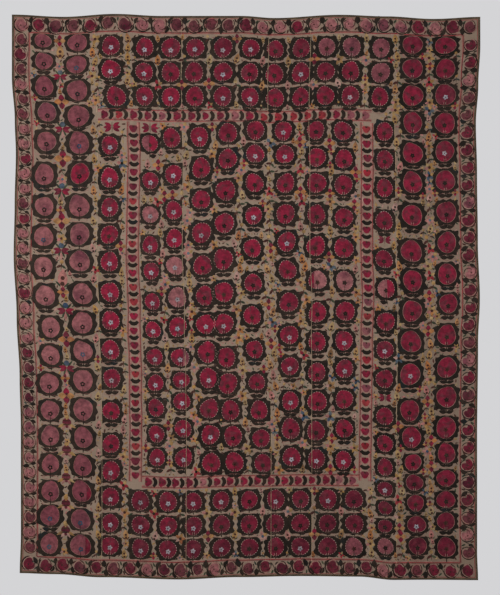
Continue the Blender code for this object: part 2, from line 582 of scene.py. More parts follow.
class NodePen:
    """Draws the nodes of one material."""

    def __init__(self, name: str, roughness: float, sheen: float) -> None:
        """Starts a material whose shine is the same all over.

        Args:
            name: The material's name.
            roughness: Roughness of the surface.
            sheen: Weight of the soft sheen of fibres.
        """
        self.material = bpy.data.materials.new(name)
        self.material.use_nodes = True
        self.tree = self.material.node_tree
        self.shader = self.tree.nodes["Principled BSDF"]
        self.shader.inputs["Roughness"].default_value = roughness
        self.shader.inputs["Sheen Weight"].default_value = sheen
        self.shader.inputs["Sheen Roughness"].default_value = 0.45
        self.shader.inputs["Specular IOR Level"].default_value = 0.12

    def add(self, kind: str, inputs: dict[str | int, object], **settings: object) -> bpy.types.Node:
        """Adds a node.

        Args:
            kind: The node's type.
            inputs: Values or sockets for its inputs.
            settings: Its own settings.

        Returns:
            The node.
        """
        node = self.tree.nodes.new(kind)
        for name, value in settings.items():
            setattr(node, name, value)
        for name, value in inputs.items():
            if isinstance(value, Socket):
                self.tree.links.new(value, node.inputs[name])
            else:
                node.inputs[name].default_value = value
        return node

    def sum(self, operation: str, *values: object) -> Socket:
        """One step of arithmetic on numbers or sockets."""
        return self.add("ShaderNodeMath", dict(enumerate(values)), operation=operation).outputs[0]

    def mix(self, share: object, first: object, second: object) -> Socket:
        """A colour between two others."""
        inputs = {0: share, 6: first, 7: second}
        return self.add("ShaderNodeMix", inputs, data_type="RGBA").outputs[2]

    def lit(self, colour: object, lightness: object) -> Socket:
        """A colour times a number."""
        inputs = {0: colour, 3: lightness}
        return self.add("ShaderNodeVectorMath", inputs, operation="SCALE").outputs[0]

    def spread(self, value: object, low: float, high: float) -> Socket:
        """A number stretched so that low becomes 0 and high becomes 1, held between them."""
        inputs = {0: value, 1: low, 2: high}
        return self.add("ShaderNodeMapRange", inputs, clamp=True).outputs[0]

    def noise(
        self, place: object, scale: float, detail: float = 2.0, stretch: tuple = (1.0, 1.0, 1.0)
    ) -> Socket:
        """Cloudy noise from 0 to 1 at a place.

        Args:
            place: A socket that gives the place.
            scale: Clouds in a metre.
            detail: Finer layers.
            stretch: How much tighter the clouds lie each way.

        Returns:
            The noise's socket.
        """
        laid = self.add("ShaderNodeMapping", {"Vector": place, "Scale": stretch}).outputs[0]
        inputs = {"Vector": laid, "Scale": scale, "Detail": detail, "Roughness": 0.55}
        return self.add("ShaderNodeTexNoise", inputs).outputs[0]

    def thread(self) -> tuple[Socket, Socket, Socket]:
        """The piece's thread map: the place, and its two coordinates across and along."""
        place = self.add("ShaderNodeUVMap", {}, uv_map="Thread").outputs[0]
        parts = self.add("ShaderNodeSeparateXYZ", {0: place})
        return place, parts.outputs[0], parts.outputs[1]

    def body_place(self) -> Socket:
        """Where a point of the surface is, in the part's own frame."""
        return self.add("ShaderNodeTexCoord", {}).outputs["Object"]

    def number(self, name: str, output: str = "Fac") -> Socket:
        """A number or colour that the mesh carries."""
        return self.add("ShaderNodeAttribute", {}, attribute_name=name).outputs[output]

    def finish(self, colour: object, relief: object, depth: float) -> bpy.types.Material:
        """Joins a colour and a relief to the shader.

        Args:
            colour: The surface's colour.
            relief: Height from 0 to 1.
            depth: What a height of 1 stands for, in metres.

        Returns:
            The material.
        """
        inputs = {"Height": relief, "Distance": depth, "Strength": 1.0}
        raised = self.add("ShaderNodeBump", inputs).outputs[0]
        self.tree.links.new(colour, self.shader.inputs["Base Color"])
        self.tree.links.new(raised, self.shader.inputs["Normal"])
        return self.material


@dataclass(frozen=True)
class Silk:
    """A silk thread, laid in close rows and tied down by short slanting stitches."""

    name: str
    slot: str
    fresh: Colour
    high_tone: Colour
    odd: Colour
    odd_share: float = 0.2
    odd_scale: float = 9.0
    row: float = 1.7 * MM

    def material(self) -> bpy.types.Material:
        """The thread's material.

        Laid rows are a sine across the thread. Tying stitches are a sine that slants along it.
        Each shape's tone and a slow noise move the colour from its fresh shade towards its high-tone
        shade, which for the rose discs is painted light; a noise that is long along the thread varies
        it row by row, a fine one mottles it, and a patchy one brings in the odd skeins.

        Returns:
            The material.
        """
        pen = NodePen(self.name, roughness=0.62, sheen=0.03)
        place, across, along = pen.thread()
        body = pen.body_place()
        tone = pen.number("tone")
        slow = pen.noise(body, 3.5, 3.0)
        # for the rose discs the tone carries painted light, and their high-tone colour is the lighter,
        # painted-lit one
        fade = pen.sum("MULTIPLY_ADD", tone, 0.55, -0.05)
        fade = pen.sum("ADD", fade, pen.sum("MULTIPLY", slow, 0.6))
        colour = pen.mix(pen.spread(fade, 0.25, 0.85), linear(self.fresh), linear(self.high_tone))
        skeins = pen.noise(body, self.odd_scale, 1.0)
        edge = 0.70 - 0.45 * self.odd_share
        colour = pen.mix(pen.spread(skeins, edge, edge + 0.12), colour, linear(self.odd))
        mottled = pen.sum("MULTIPLY_ADD", pen.noise(body, 62.0, 3.0), 2.1, -0.02)
        colour = pen.lit(colour, mottled)
        streak = pen.noise(place, 1.0, 1.0, stretch=(420.0, 28.0, 1.0))
        deep = pen.sum("MULTIPLY", pen.spread(streak, 0.35, 0.75), 0.38)
        colour = pen.mix(deep, colour, pen.mix(0.55, colour, (0.005, 0.004, 0.004, 1.0)))
        rows = pen.sum("SINE", pen.sum("MULTIPLY", across, math.tau / self.row))
        slant = pen.sum("ADD", pen.sum("MULTIPLY", across, 0.6), along)
        ties = pen.sum("SINE", pen.sum("MULTIPLY", slant, math.tau / (2.4 * self.row)))
        relief = pen.sum("MULTIPLY_ADD", rows, 0.35, 0.5)
        relief = pen.sum("ADD", relief, pen.sum("MULTIPLY", ties, 0.15))
        return pen.finish(colour, relief, 0.25 * MM)


@dataclass(frozen=True)
class Cotton:
    """Hand-woven cotton: its ground colours, and the stitches that show on its back."""

    name: str
    slot: str
    clean: Colour
    aged: Colour
    stain: Colour
    yarn: float = 1.1 * MM

    def material(self) -> bpy.types.Material:
        """The cotton's material.

        The weave is the product of two sines of the flat place. Slubs are a noise that is
        long across the strip, stains are slow patches, and the short stitches of the back are
        slanting dashes, as dense as the mesh's reverse colour is opaque.

        Returns:
            The material.
        """
        pen = NodePen(self.name, roughness=0.9, sheen=0.03)
        place, across, down = pen.thread()
        body = pen.body_place()
        slow = pen.spread(pen.noise(body, 2.2, 3.0), 0.3, 0.7)
        shade = pen.sum("ADD", pen.sum("MULTIPLY", slow, 0.6), pen.number("tone"))
        colour = pen.mix(pen.spread(shade, 0.1, 1.1), linear(self.clean), linear(self.aged))
        spots = pen.spread(pen.noise(body, 11.0, 4.0), 0.56, 0.78)
        colour = pen.mix(pen.sum("MULTIPLY", spots, 0.7), colour, linear(self.stain))
        slubs = pen.noise(place, 1.0, 2.0, stretch=(24.0, 420.0, 1.0))
        warp = pen.noise(place, 1.0, 2.0, stretch=(420.0, 16.0, 1.0))
        streaks = pen.sum("ADD", slubs, warp)
        colour = pen.lit(colour, pen.sum("MULTIPLY_ADD", streaks, 0.35, 0.66))
        reverse = pen.number("reverse", "Color")
        density = pen.number("reverse", "Alpha")
        dashes = pen.noise(place, 1.0, 1.0, stretch=(300.0, 95.0, 1.0))
        level = pen.sum("SUBTRACT", 0.82, pen.sum("MULTIPLY", density, 0.42))
        shown = pen.spread(pen.sum("SUBTRACT", dashes, level), 0.0, 0.04)
        shown = pen.sum("MULTIPLY", shown, pen.spread(density, 0.0, 0.05))
        colour = pen.mix(shown, colour, reverse)
        wefts = pen.sum("SINE", pen.sum("MULTIPLY", down, math.tau / self.yarn))
        warps = pen.sum("SINE", pen.sum("MULTIPLY", across, math.tau / self.yarn))
        relief = pen.sum("MULTIPLY_ADD", pen.sum("MULTIPLY", wefts, warps), 0.3, 0.4)
        relief = pen.sum("ADD", relief, pen.sum("MULTIPLY", slubs, 0.5))
        relief = pen.sum("ADD", relief, pen.sum("MULTIPLY", shown, 0.9))
        return pen.finish(colour, relief, 0.22 * MM)


@dataclass(frozen=True)
class Tape:
    """A narrow woven tape with a slanting rib."""

    name: str
    slot: str
    dark: Colour
    light: Colour
    rib: float = 2.6 * MM

    def material(self) -> bpy.types.Material:
        """The tape's material: ribs are a sine that slants, and a noise wears them pale."""
        pen = NodePen(self.name, roughness=0.88, sheen=0.03)
        place, across, along = pen.thread()
        slant = pen.sum("ADD", across, along)
        ribs = pen.sum("SINE", pen.sum("MULTIPLY", slant, math.tau / self.rib))
        worn = pen.spread(pen.noise(pen.body_place(), 26.0, 3.0), 0.42, 0.72)
        share = pen.sum("MULTIPLY", worn, pen.spread(ribs, -1.0, 1.0))
        colour = pen.mix(share, linear(self.dark), linear(self.light))
        return pen.finish(colour, pen.spread(ribs, -1.0, 1.0), 0.3 * MM)


class Thread(Enum):
    """The threads of the work, one for each colour family."""

    CRIMSON = Silk("crimson_silk", "silk_crimson", (126, 20, 46), (84, 20, 36), (94, 33, 44), 0.46, 34.0)
    # the rose's high-tone colour (138, 86, 86) is painted light: a bell down the cloth lifts the rose
    # discs to it in the middle rows
    ROSE = Silk("rose_silk", "silk_rose", (106, 50, 59), (138, 86, 86), (98, 50, 58), 0.3)
    PLUM = Silk("plum_silk", "silk_crimson", (92, 28, 41), (90, 46, 50), (70, 18, 32), 0.35)
    DARK = Silk("dark_silk", "silk_dark", (18, 11, 4), (46, 35, 27), (22, 26, 26), 0.2, 14.0)
    VERMILION = Silk("vermilion_silk", "silk_vermilion", (128, 30, 40), (126, 44, 46), (108, 22, 38))
    ORANGE = Silk("orange_silk", "silk_ochre", (148, 94, 52), (146, 116, 78), (128, 78, 50), 0.3)
    OCHRE = Silk("ochre_silk", "silk_ochre", (142, 106, 60), (144, 122, 88), (116, 84, 54), 0.3)
    BLUE = Silk("blue_grey_silk", "silk_blue_grey", (44, 58, 76), (84, 90, 94), (36, 60, 76))
    BROWN = Silk("brown_silk", "silk_dark", (58, 26, 22), (68, 42, 32), (42, 32, 26), 0.3)
    PALE = Silk("pale_silk", "silk_pale", (166, 130, 122), (150, 124, 110), (176, 150, 144))
    DUSTY = Silk("dusty_pink_silk", "silk_pale", (152, 96, 90), (140, 104, 94), (150, 116, 106), 0.4)
    LILAC = Silk("lilac_grey_silk", "silk_pale", (146, 142, 148), (134, 122, 124), (120, 128, 136))
    GREEN = Silk("green_silk", "silk_dark", (38, 48, 34), (58, 62, 44), (28, 44, 42), 0.3)


COTTON = Cotton("hand_woven_cotton", "cotton", (140, 121, 105), (118, 100, 86), (95, 78, 63))
SEAM_COTTON = Silk("seam_cotton", "cotton", (172, 150, 122), (152, 130, 104), (160, 138, 110))
EDGING = Tape("edging_tape_weave", "edging_tape", (62, 50, 38), (106, 88, 64))


# The ground: strips, seams and tape


@dataclass
class Ground:
    """The cotton strips, their seams and the tape round the edge."""

    cloth: HungCloth
    strip_widths: tuple[float, ...] = (0.366, 0.381, 0.383, 0.184, 0.383, 0.363)
    node_names: tuple[str, ...] = (
        "panel_1_left", "panel_2", "panel_3", "panel_4_half", "panel_5", "panel_6_right",
    )
    strip_shades: tuple[float, ...] = (0.10, 0.14, 0.06, 0.24, 0.20, 0.66)
    seam_gap: float = 0.3 * MM
    cell: float = 15.0 * MM
    tape_width: float = 9.0 * MM
    tape_thickness: float = 0.9 * MM
    tape_clearance: float = 0.3 * MM
    fold_depth: float = 1.9 * MM

    @property
    def seams(self) -> Array:
        """Where the five seams are, across the flat cloth."""
        return np.cumsum(self.strip_widths)[:-1]

    def strips(self, rosettes: Rosettes) -> list[Piece]:
        """Args:
            rosettes: The rosettes, whose stitches show on the back.

        Returns:
            The strips.
        """
        material = COTTON.material()
        made = []
        left = 0.0
        for number, width in enumerate(self.strip_widths):
            name = f"cotton_strip_{number + 1}"
            mesh = self.strip_mesh(name, left, left + width, number, rosettes)
            piece = new_piece(name, mesh, material)
            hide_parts(self.node_names[number])
            made.append(piece)
            left += width
        return made

    def strip_mesh(
        self, name: str, left: float, right: float, number: int, rosettes: Rosettes
    ) -> bpy.types.Mesh:
        """A sheet with a face, a back and four narrow sides, on an even grid of cells.

        Args:
            name: The mesh's name.
            left: The strip's left edge across the flat cloth.
            right: Its right edge.
            number: Which strip it is.
            rosettes: The rosettes, whose stitches show on the back.

        Returns:
            The mesh.
        """
        outer_left, outer_right = number == 0, number == len(self.strip_widths) - 1
        low = self.fold_depth if outer_left else left + self.seam_gap / 2
        high = right - (self.fold_depth if outer_right else self.seam_gap / 2)
        us = spaced(low, high, self.cell, ends=2.5 * MM)
        vs = spaced(self.fold_depth, self.cloth.height - self.fold_depth, self.cell, ends=2.5 * MM)
        flat = np.stack(np.meshgrid(us, vs), -1)
        rows, columns = flat.shape[:2]
        near_seam = np.minimum(us - low, high - us)
        dip = -0.35 * MM * np.exp(-((near_seam / (3.0 * MM)) ** 2))
        lift = np.broadcast_to(dip, (rows, columns))
        face = self.cloth.hang(flat, lift).reshape(-1, 3)
        back = self.cloth.hang(flat, lift - self.cloth.thickness).reshape(-1, 3)
        numbers = np.arange(rows * columns).reshape(rows, columns)
        other = numbers + rows * columns
        front = np.stack([numbers[1:, :-1], numbers[1:, 1:], numbers[:-1, 1:], numbers[:-1, :-1]], -1)
        behind = np.stack([other[:-1, :-1], other[:-1, 1:], other[1:, 1:], other[1:, :-1]], -1)
        rim = np.concatenate([numbers[0, :-1], numbers[:-1, -1], numbers[-1, :0:-1], numbers[:0:-1, 0]])
        after = np.roll(rim, -1)
        sides = np.stack([rim, after, after + rows * columns, rim + rows * columns], -1)
        faces = np.concatenate([front.reshape(-1, 4), behind.reshape(-1, 4), sides])
        places = np.concatenate([flat.reshape(-1, 2)] * 2)
        reverse = np.zeros((2 * rows * columns, 4))
        reverse[rows * columns :] = rosettes.reverse_colours(flat.reshape(-1, 2))
        tone = np.full(len(places), self.strip_shades[number])
        values = {"tone": tone, "reverse": reverse}
        return shaped_mesh(name, np.concatenate([face, back]), faces, places[faces], values)

    def seam_pieces(self) -> list[Piece]:
        """The ridge of each seam, and the slanting stitches that lace it.

        Each ridge is a ribbon on the seam. The stitches lie across it, turned one way and
        then the other, a few millimetres apart.

        Returns:
            The ridges and the stitches.
        """
        ridges, lacing = Stitches(self.cloth), Stitches(self.cloth)
        generator = np.random.default_rng(SEED)
        edge = self.tape_width + 1 * MM
        down = np.arange(edge, self.cloth.height - edge, 12 * MM)
        for seam in self.seams:
            sway = 0.5 * MM * np.sin(down * 9 + seam * 30)
            path = np.stack([seam + sway, down], -1)[None]
            ridges.add(line(path, 2.2 * MM, 0.5 * MM, np.array([0.3]), sink=0.8 * MM))
            stops = np.arange(edge + 3 * MM, self.cloth.height - edge, 7.5 * MM)
            stops = stops + generator.uniform(-0.8, 0.8, len(stops)) * MM
            turn = np.where(np.arange(len(stops)) % 2, 0.55, math.pi - 0.55)
            centre = np.stack([np.full(len(stops), seam), stops], -1)
            root = centre - polar(turn, 2.1 * MM)
            outline = leaf_outline(4.2 * MM, 1.1 * MM, count=3)
            tone = generator.uniform(0, 1, len(stops))
            lacing.add(leaves(outline, root, turn, 1.0, 0.95 * MM, tone, base=0.3 * MM, ridged=True))
        material = SEAM_COTTON.material()
        return [
            new_piece("seam_ridges", ridges.mesh("seam_ridges"), material),
            new_piece("seam_lacing", lacing.mesh("seam_lacing"), material),
        ]

    def tape_pieces(self) -> list[Piece]:
        """The tape folded over each side of the cloth.

        A ring of ten points, which goes round the folded tape's outside and back along its
        inside, is carried along the edge. The tape's free edges wander a little.

        Returns:
            Four lengths of tape.
        """
        material = EDGING.material()
        corner = self.tape_width + 2 * self.tape_clearance
        width, height = self.cloth.width, self.cloth.height
        sides = {
            "top": (0.0, width, 0.0, 1.0),
            "bottom": (0.0, width, height, -1.0),
            "left": (corner, height - corner, 0.0, 1.0),
            "right": (corner, height - corner, width, -1.0),
        }
        made = []
        for name, (start, end, edge, inward) in sides.items():
            along = spaced(start, end, 9 * MM)
            wander = 0.7 * MM * np.sin(along * 61) + 0.5 * MM * np.sin(along * 23 + 1)
            ring, lift = self.tape_ring()
            reach = ring + np.where(ring > 0.5 * self.tape_width, 1, 0) * wander[:, None]
            reach = np.minimum(reach, self.tape_width)
            inwards = edge + inward * reach
            steps = np.broadcast_to(along[:, None], inwards.shape)
            upright = name in ("left", "right")
            flat = np.stack([inwards, steps] if upright else [steps, inwards], -1)[None]
            lifts = np.broadcast_to(lift, inwards.shape)[None]
            across = np.concatenate([ring, ring[:1] + 2 * self.tape_width])
            thread = np.stack(np.broadcast_arrays(across, along[:, None]), -1)[None]
            tape = Stitches(self.cloth)
            tape.add(Batch(flat, lifts, thread, np.array([0.5])))
            piece = new_piece(f"edging_{name}", tape.mesh(f"edging_{name}"), material)
            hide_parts(f"binding_{name}")
            made.append(piece)
        return made

    def tape_ring(self) -> tuple[Array, Array]:
        """The folded tape's section: each point's distance inwards, and its lift."""
        thick, clear = self.tape_thickness, self.tape_clearance
        behind = -self.cloth.thickness - clear
        outside = [
            (self.tape_width, clear + 0.75 * thick), (0.5 * self.tape_width, clear + thick),
            (1.6 * thick, clear + thick), (0.0, 0.2 * thick), (0.0, -self.cloth.thickness),
            (1.6 * thick, behind - thick), (self.tape_width, behind - thick),
        ]
        inside = [
            (self.tape_width, behind), (1.4 * thick, behind), (1.4 * thick, clear),
            (self.tape_width, clear),
        ]
        reach, lift = np.array(outside + inside).T
        return reach, lift


def spaced(low: float, high: float, step: float, ends: float | None = None) -> Array:
    """Evenly spaced numbers about a step apart.

    Args:
        low: The first number.
        high: The last number.
        step: The spacing to aim at.
        ends: If given, one more number lies this far inside each end.

    Returns:
        The numbers.
    """
    if ends is None:
        return np.linspace(low, high, max(2, round((high - low) / step) + 1))
    inner = spaced(low + ends, high - ends, step)
    return np.concatenate([[low], inner, [high]])


def new_piece(
    name: str, mesh: bpy.types.Mesh, material: bpy.types.Material
) -> Piece:
    """Links a mesh as a piece that rides on the cloth's body.

    Args:
        name: The piece's name.
        mesh: Its mesh.
        material: Its finish.

    Returns:
        The piece.
    """
    mesh.materials.append(material)
    piece = bpy.data.objects.new(name, mesh)
    bpy.context.scene.collection.objects.link(piece)
    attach(piece, BODY)
    triangles = sum(len(polygon.vertices) - 2 for polygon in mesh.polygons)
    LOG.info("%s: %d triangles", name, triangles)
    return piece


# Embroidery


class Needlework:
    """Gathers stitches by thread and by what they make, and turns them into pieces."""

    def __init__(self, cloth: HungCloth) -> None:
        """Starts with no stitches on a cloth."""
        self.cloth = cloth
        self.work: dict[tuple[str, Thread], Stitches] = {}

    def add(self, part: str, thread: Thread, batch: Batch, within: Rosettes | None = None) -> None:
        """Gathers a batch for a named part of the work, held inside its rosettes' limits if given."""
        if within is not None:
            batch = batch.clipped(within.low, within.high)
        self.work.setdefault((part, thread), Stitches(self.cloth)).add(batch)

    def pieces(self) -> list[Piece]:
        """Makes one piece for each part and thread."""
        finishes = {thread: thread.value.material() for thread in Thread}
        made = []
        for (part, thread), stitches in self.work.items():
            name = f"{part}_{thread.name.lower()}"
            if stitches.batches:
                mesh = stitches.mesh(name)
                made.append(new_piece(name, mesh, finishes[thread]))
        return made


class Field(Enum):
    """Where a rosette stands, with how deep its wreath's notches are and how square it is."""

    LEFT = (0.36, 0.12)
    INNER = (0.46, 0.20)
    OUTER = (0.42, 0.22)
    RIGHT = (0.46, 0.24)


@dataclass(frozen=True)
class Column:
    """A column of rosettes.

    Attributes:
        field: Which field it belongs to.
        across: Row number and place across of a few rosettes. The others lie in between.
        rows: Place down of each rosette.
        radius: Half the width of its discs.
        wreath: Half the width of its wreaths.
        thread: The thread of its discs.
        others: Rows whose discs are in the other of crimson and rose.
        parted: Rows whose discs change thread: the row, where the change is, from -1 at the
            left to 1 at the right, and whether the other thread is on the left of it.
        pale: Share of its hearts that are pale.
    """

    field: Field
    across: tuple[tuple[int, float], ...]
    rows: tuple[float, ...]
    radius: float
    wreath: float
    thread: Thread = Thread.CRIMSON
    others: tuple[int, ...] = ()
    parted: tuple[tuple[int, float, bool], ...] = ()
    pale: float = 0.1


LEFT_COLUMNS = (
    Column(
        Field.LEFT,
        ((0, 0.136), (3, 0.147), (5, 0.131), (9, 0.131), (10, 0.149), (12, 0.133), (18, 0.133)),
        (0.111, 0.202, 0.315, 0.430, 0.560, 0.710, 0.850, 0.985, 1.120, 1.250, 1.390, 1.515,
         1.640, 1.760, 1.875, 2.000, 2.120, 2.230, 2.355),
        0.043, 0.063, Thread.ROSE,
    ),
    Column(
        Field.LEFT,
        ((0, 0.288), (3, 0.283), (8, 0.290), (9, 0.297), (12, 0.286), (18, 0.271)),
        (0.118, 0.216, 0.330, 0.445, 0.565, 0.700, 0.845, 0.970, 1.090, 1.235, 1.365, 1.490,
         1.620, 1.750, 1.875, 2.000, 2.115, 2.240, 2.355),
        0.046, 0.067, Thread.ROSE, others=(5,), parted=((16, 0.5, False), (18, 0.45, False)),
    ),
)
MIDDLE_COLUMNS = (
    Column(Field.OUTER, ((0, 0.436), (1, 0.437), (2, 0.456)), (0.140, 0.245, 0.365),
           0.044, 0.060, pale=0.6),
    Column(
        Field.OUTER,
        ((0, 0.419), (4, 0.423), (9, 0.408), (14, 0.402)),
        (0.580, 0.725, 0.855, 0.975, 1.095, 1.230, 1.355, 1.485, 1.610, 1.755, 1.900, 2.020,
         2.135, 2.250, 2.350),
        0.042, 0.056, pale=0.85,
    ),
    Column(Field.OUTER, ((0, 1.652), (3, 1.646)), (0.510, 0.635, 0.760, 0.905), 0.041, 0.053),
    Column(Field.OUTER, ((0, 1.643), (4, 1.643)), (1.075, 1.205, 1.350, 1.475, 1.605),
           0.041, 0.053, parted=((1, 0.1, True),), pale=0.4),
    Column(Field.OUTER, ((0, 1.645), (6, 1.645)), (1.770, 1.890, 1.995, 2.090, 2.175, 2.255, 2.345),
           0.040, 0.053, others=(6,)),
)
INNER_COLUMNS = (
    Column(
        Field.INNER, ((0, 0.600), (11, 0.614)),
        (0.565, 0.730, 0.880, 1.015, 1.130, 1.265, 1.390, 1.510, 1.625, 1.735, 1.850, 1.955),
        0.038, 0.049, others=(2,), parted=((0, -0.1, True),), pale=0.85,
    ),
    Column(
        Field.INNER, ((0, 0.701), (11, 0.736)),
        (0.540, 0.700, 0.860, 0.985, 1.105, 1.245, 1.375, 1.510, 1.610, 1.705, 1.825, 1.955),
        0.042, 0.054, others=(4, 5), parted=((7, 0.3, False),), pale=0.85,
    ),
    Column(
        Field.INNER, ((0, 0.824), (11, 0.859)),
        (0.535, 0.675, 0.815, 0.960, 1.105, 1.240, 1.365, 1.490, 1.605, 1.740, 1.855, 1.980),
        0.045, 0.061, pale=0.35,
    ),
    Column(
        Field.INNER, ((0, 0.950), (6, 0.918), (11, 0.967)),
        (0.520, 0.635, 0.775, 0.920, 1.080, 1.225, 1.365, 1.515, 1.630, 1.750, 1.865, 1.980),
        0.045, 0.060,
    ),
    Column(
        Field.INNER, ((0, 1.075), (6, 1.050), (11, 1.094)),
        (0.505, 0.610, 0.740, 0.885, 1.030, 1.185, 1.330, 1.480, 1.625, 1.750, 1.875, 1.985),
        0.042, 0.058,
    ),
    Column(
        Field.INNER, ((0, 1.203), (11, 1.220)),
        (0.505, 0.610, 0.740, 0.875, 1.000, 1.125, 1.270, 1.415, 1.555, 1.710, 1.835, 1.960),
        0.043, 0.058, pale=0.6,
    ),
    Column(
        Field.INNER, ((0, 1.346), (11, 1.335)),
        (0.510, 0.630, 0.745, 0.885, 1.025, 1.175, 1.320, 1.450, 1.585, 1.715, 1.845, 1.970),
        0.043, 0.058, parted=((5, -0.35, False),),
    ),
    Column(
        Field.INNER, ((0, 1.467), (11, 1.457)),
        (0.515, 0.640, 0.755, 0.900, 1.035, 1.180, 1.315, 1.445, 1.570, 1.705, 1.835, 1.975),
        0.043, 0.056, others=(5,), pale=0.3,
    ),
)
RIGHT_COLUMNS = (
    Column(
        Field.RIGHT,
        ((0, 1.763), (3, 1.778), (8, 1.763), (12, 1.755), (14, 1.772), (18, 1.794)),
        (0.120, 0.225, 0.345, 0.465, 0.600, 0.730, 0.875, 1.035, 1.165, 1.300, 1.435, 1.580,
         1.740, 1.860, 1.970, 2.060, 2.150, 2.245, 2.340),
        0.046, 0.064,
    ),
    Column(
        Field.RIGHT,
        ((0, 1.905), (3, 1.920), (18, 1.921)),
        (0.120, 0.225, 0.340, 0.465, 0.590, 0.720, 0.860, 0.995, 1.135, 1.265, 1.405, 1.550,
         1.680, 1.815, 1.930, 2.040, 2.135, 2.230, 2.345),
        0.045, 0.059,
    ),
)


def crosswise(
    places: tuple[float, ...], rows: tuple[float, ...], others: tuple[tuple[int, int], ...],
    pale: float,
) -> tuple[Column, ...]:
    """Short columns side by side, as in the fields above and below the inner one.

    Args:
        places: Each column's place across.
        rows: Their rows' places down.
        others: Column and row numbers of the discs in the other thread.
        pale: Share of pale hearts in the first column. It falls to none in the last.

    Returns:
        The columns.
    """
    return tuple(
        Column(
            Field.OUTER, ((0, u), (len(rows) - 1, u)), rows, 0.042, 0.059,
            others=tuple(row for column, row in others if column == number),
            pale=pale * (1 - number / len(places)),
        )
        for number, u in enumerate(places)
    )


TOP_COLUMNS = crosswise(
    (0.585, 0.700, 0.805, 0.930, 1.050, 1.160, 1.275, 1.385, 1.495, 1.625),
    (0.141, 0.250, 0.358),
    ((7, 0), (8, 0), (9, 0), (9, 1)),
    pale=0.9,
)
BOTTOM_COLUMNS = crosswise(
    (0.540, 0.665, 0.780, 0.905, 1.030, 1.150, 1.260, 1.385, 1.505),
    (2.148, 2.255, 2.358),
    ((8, 2),),
    pale=1.0,
)


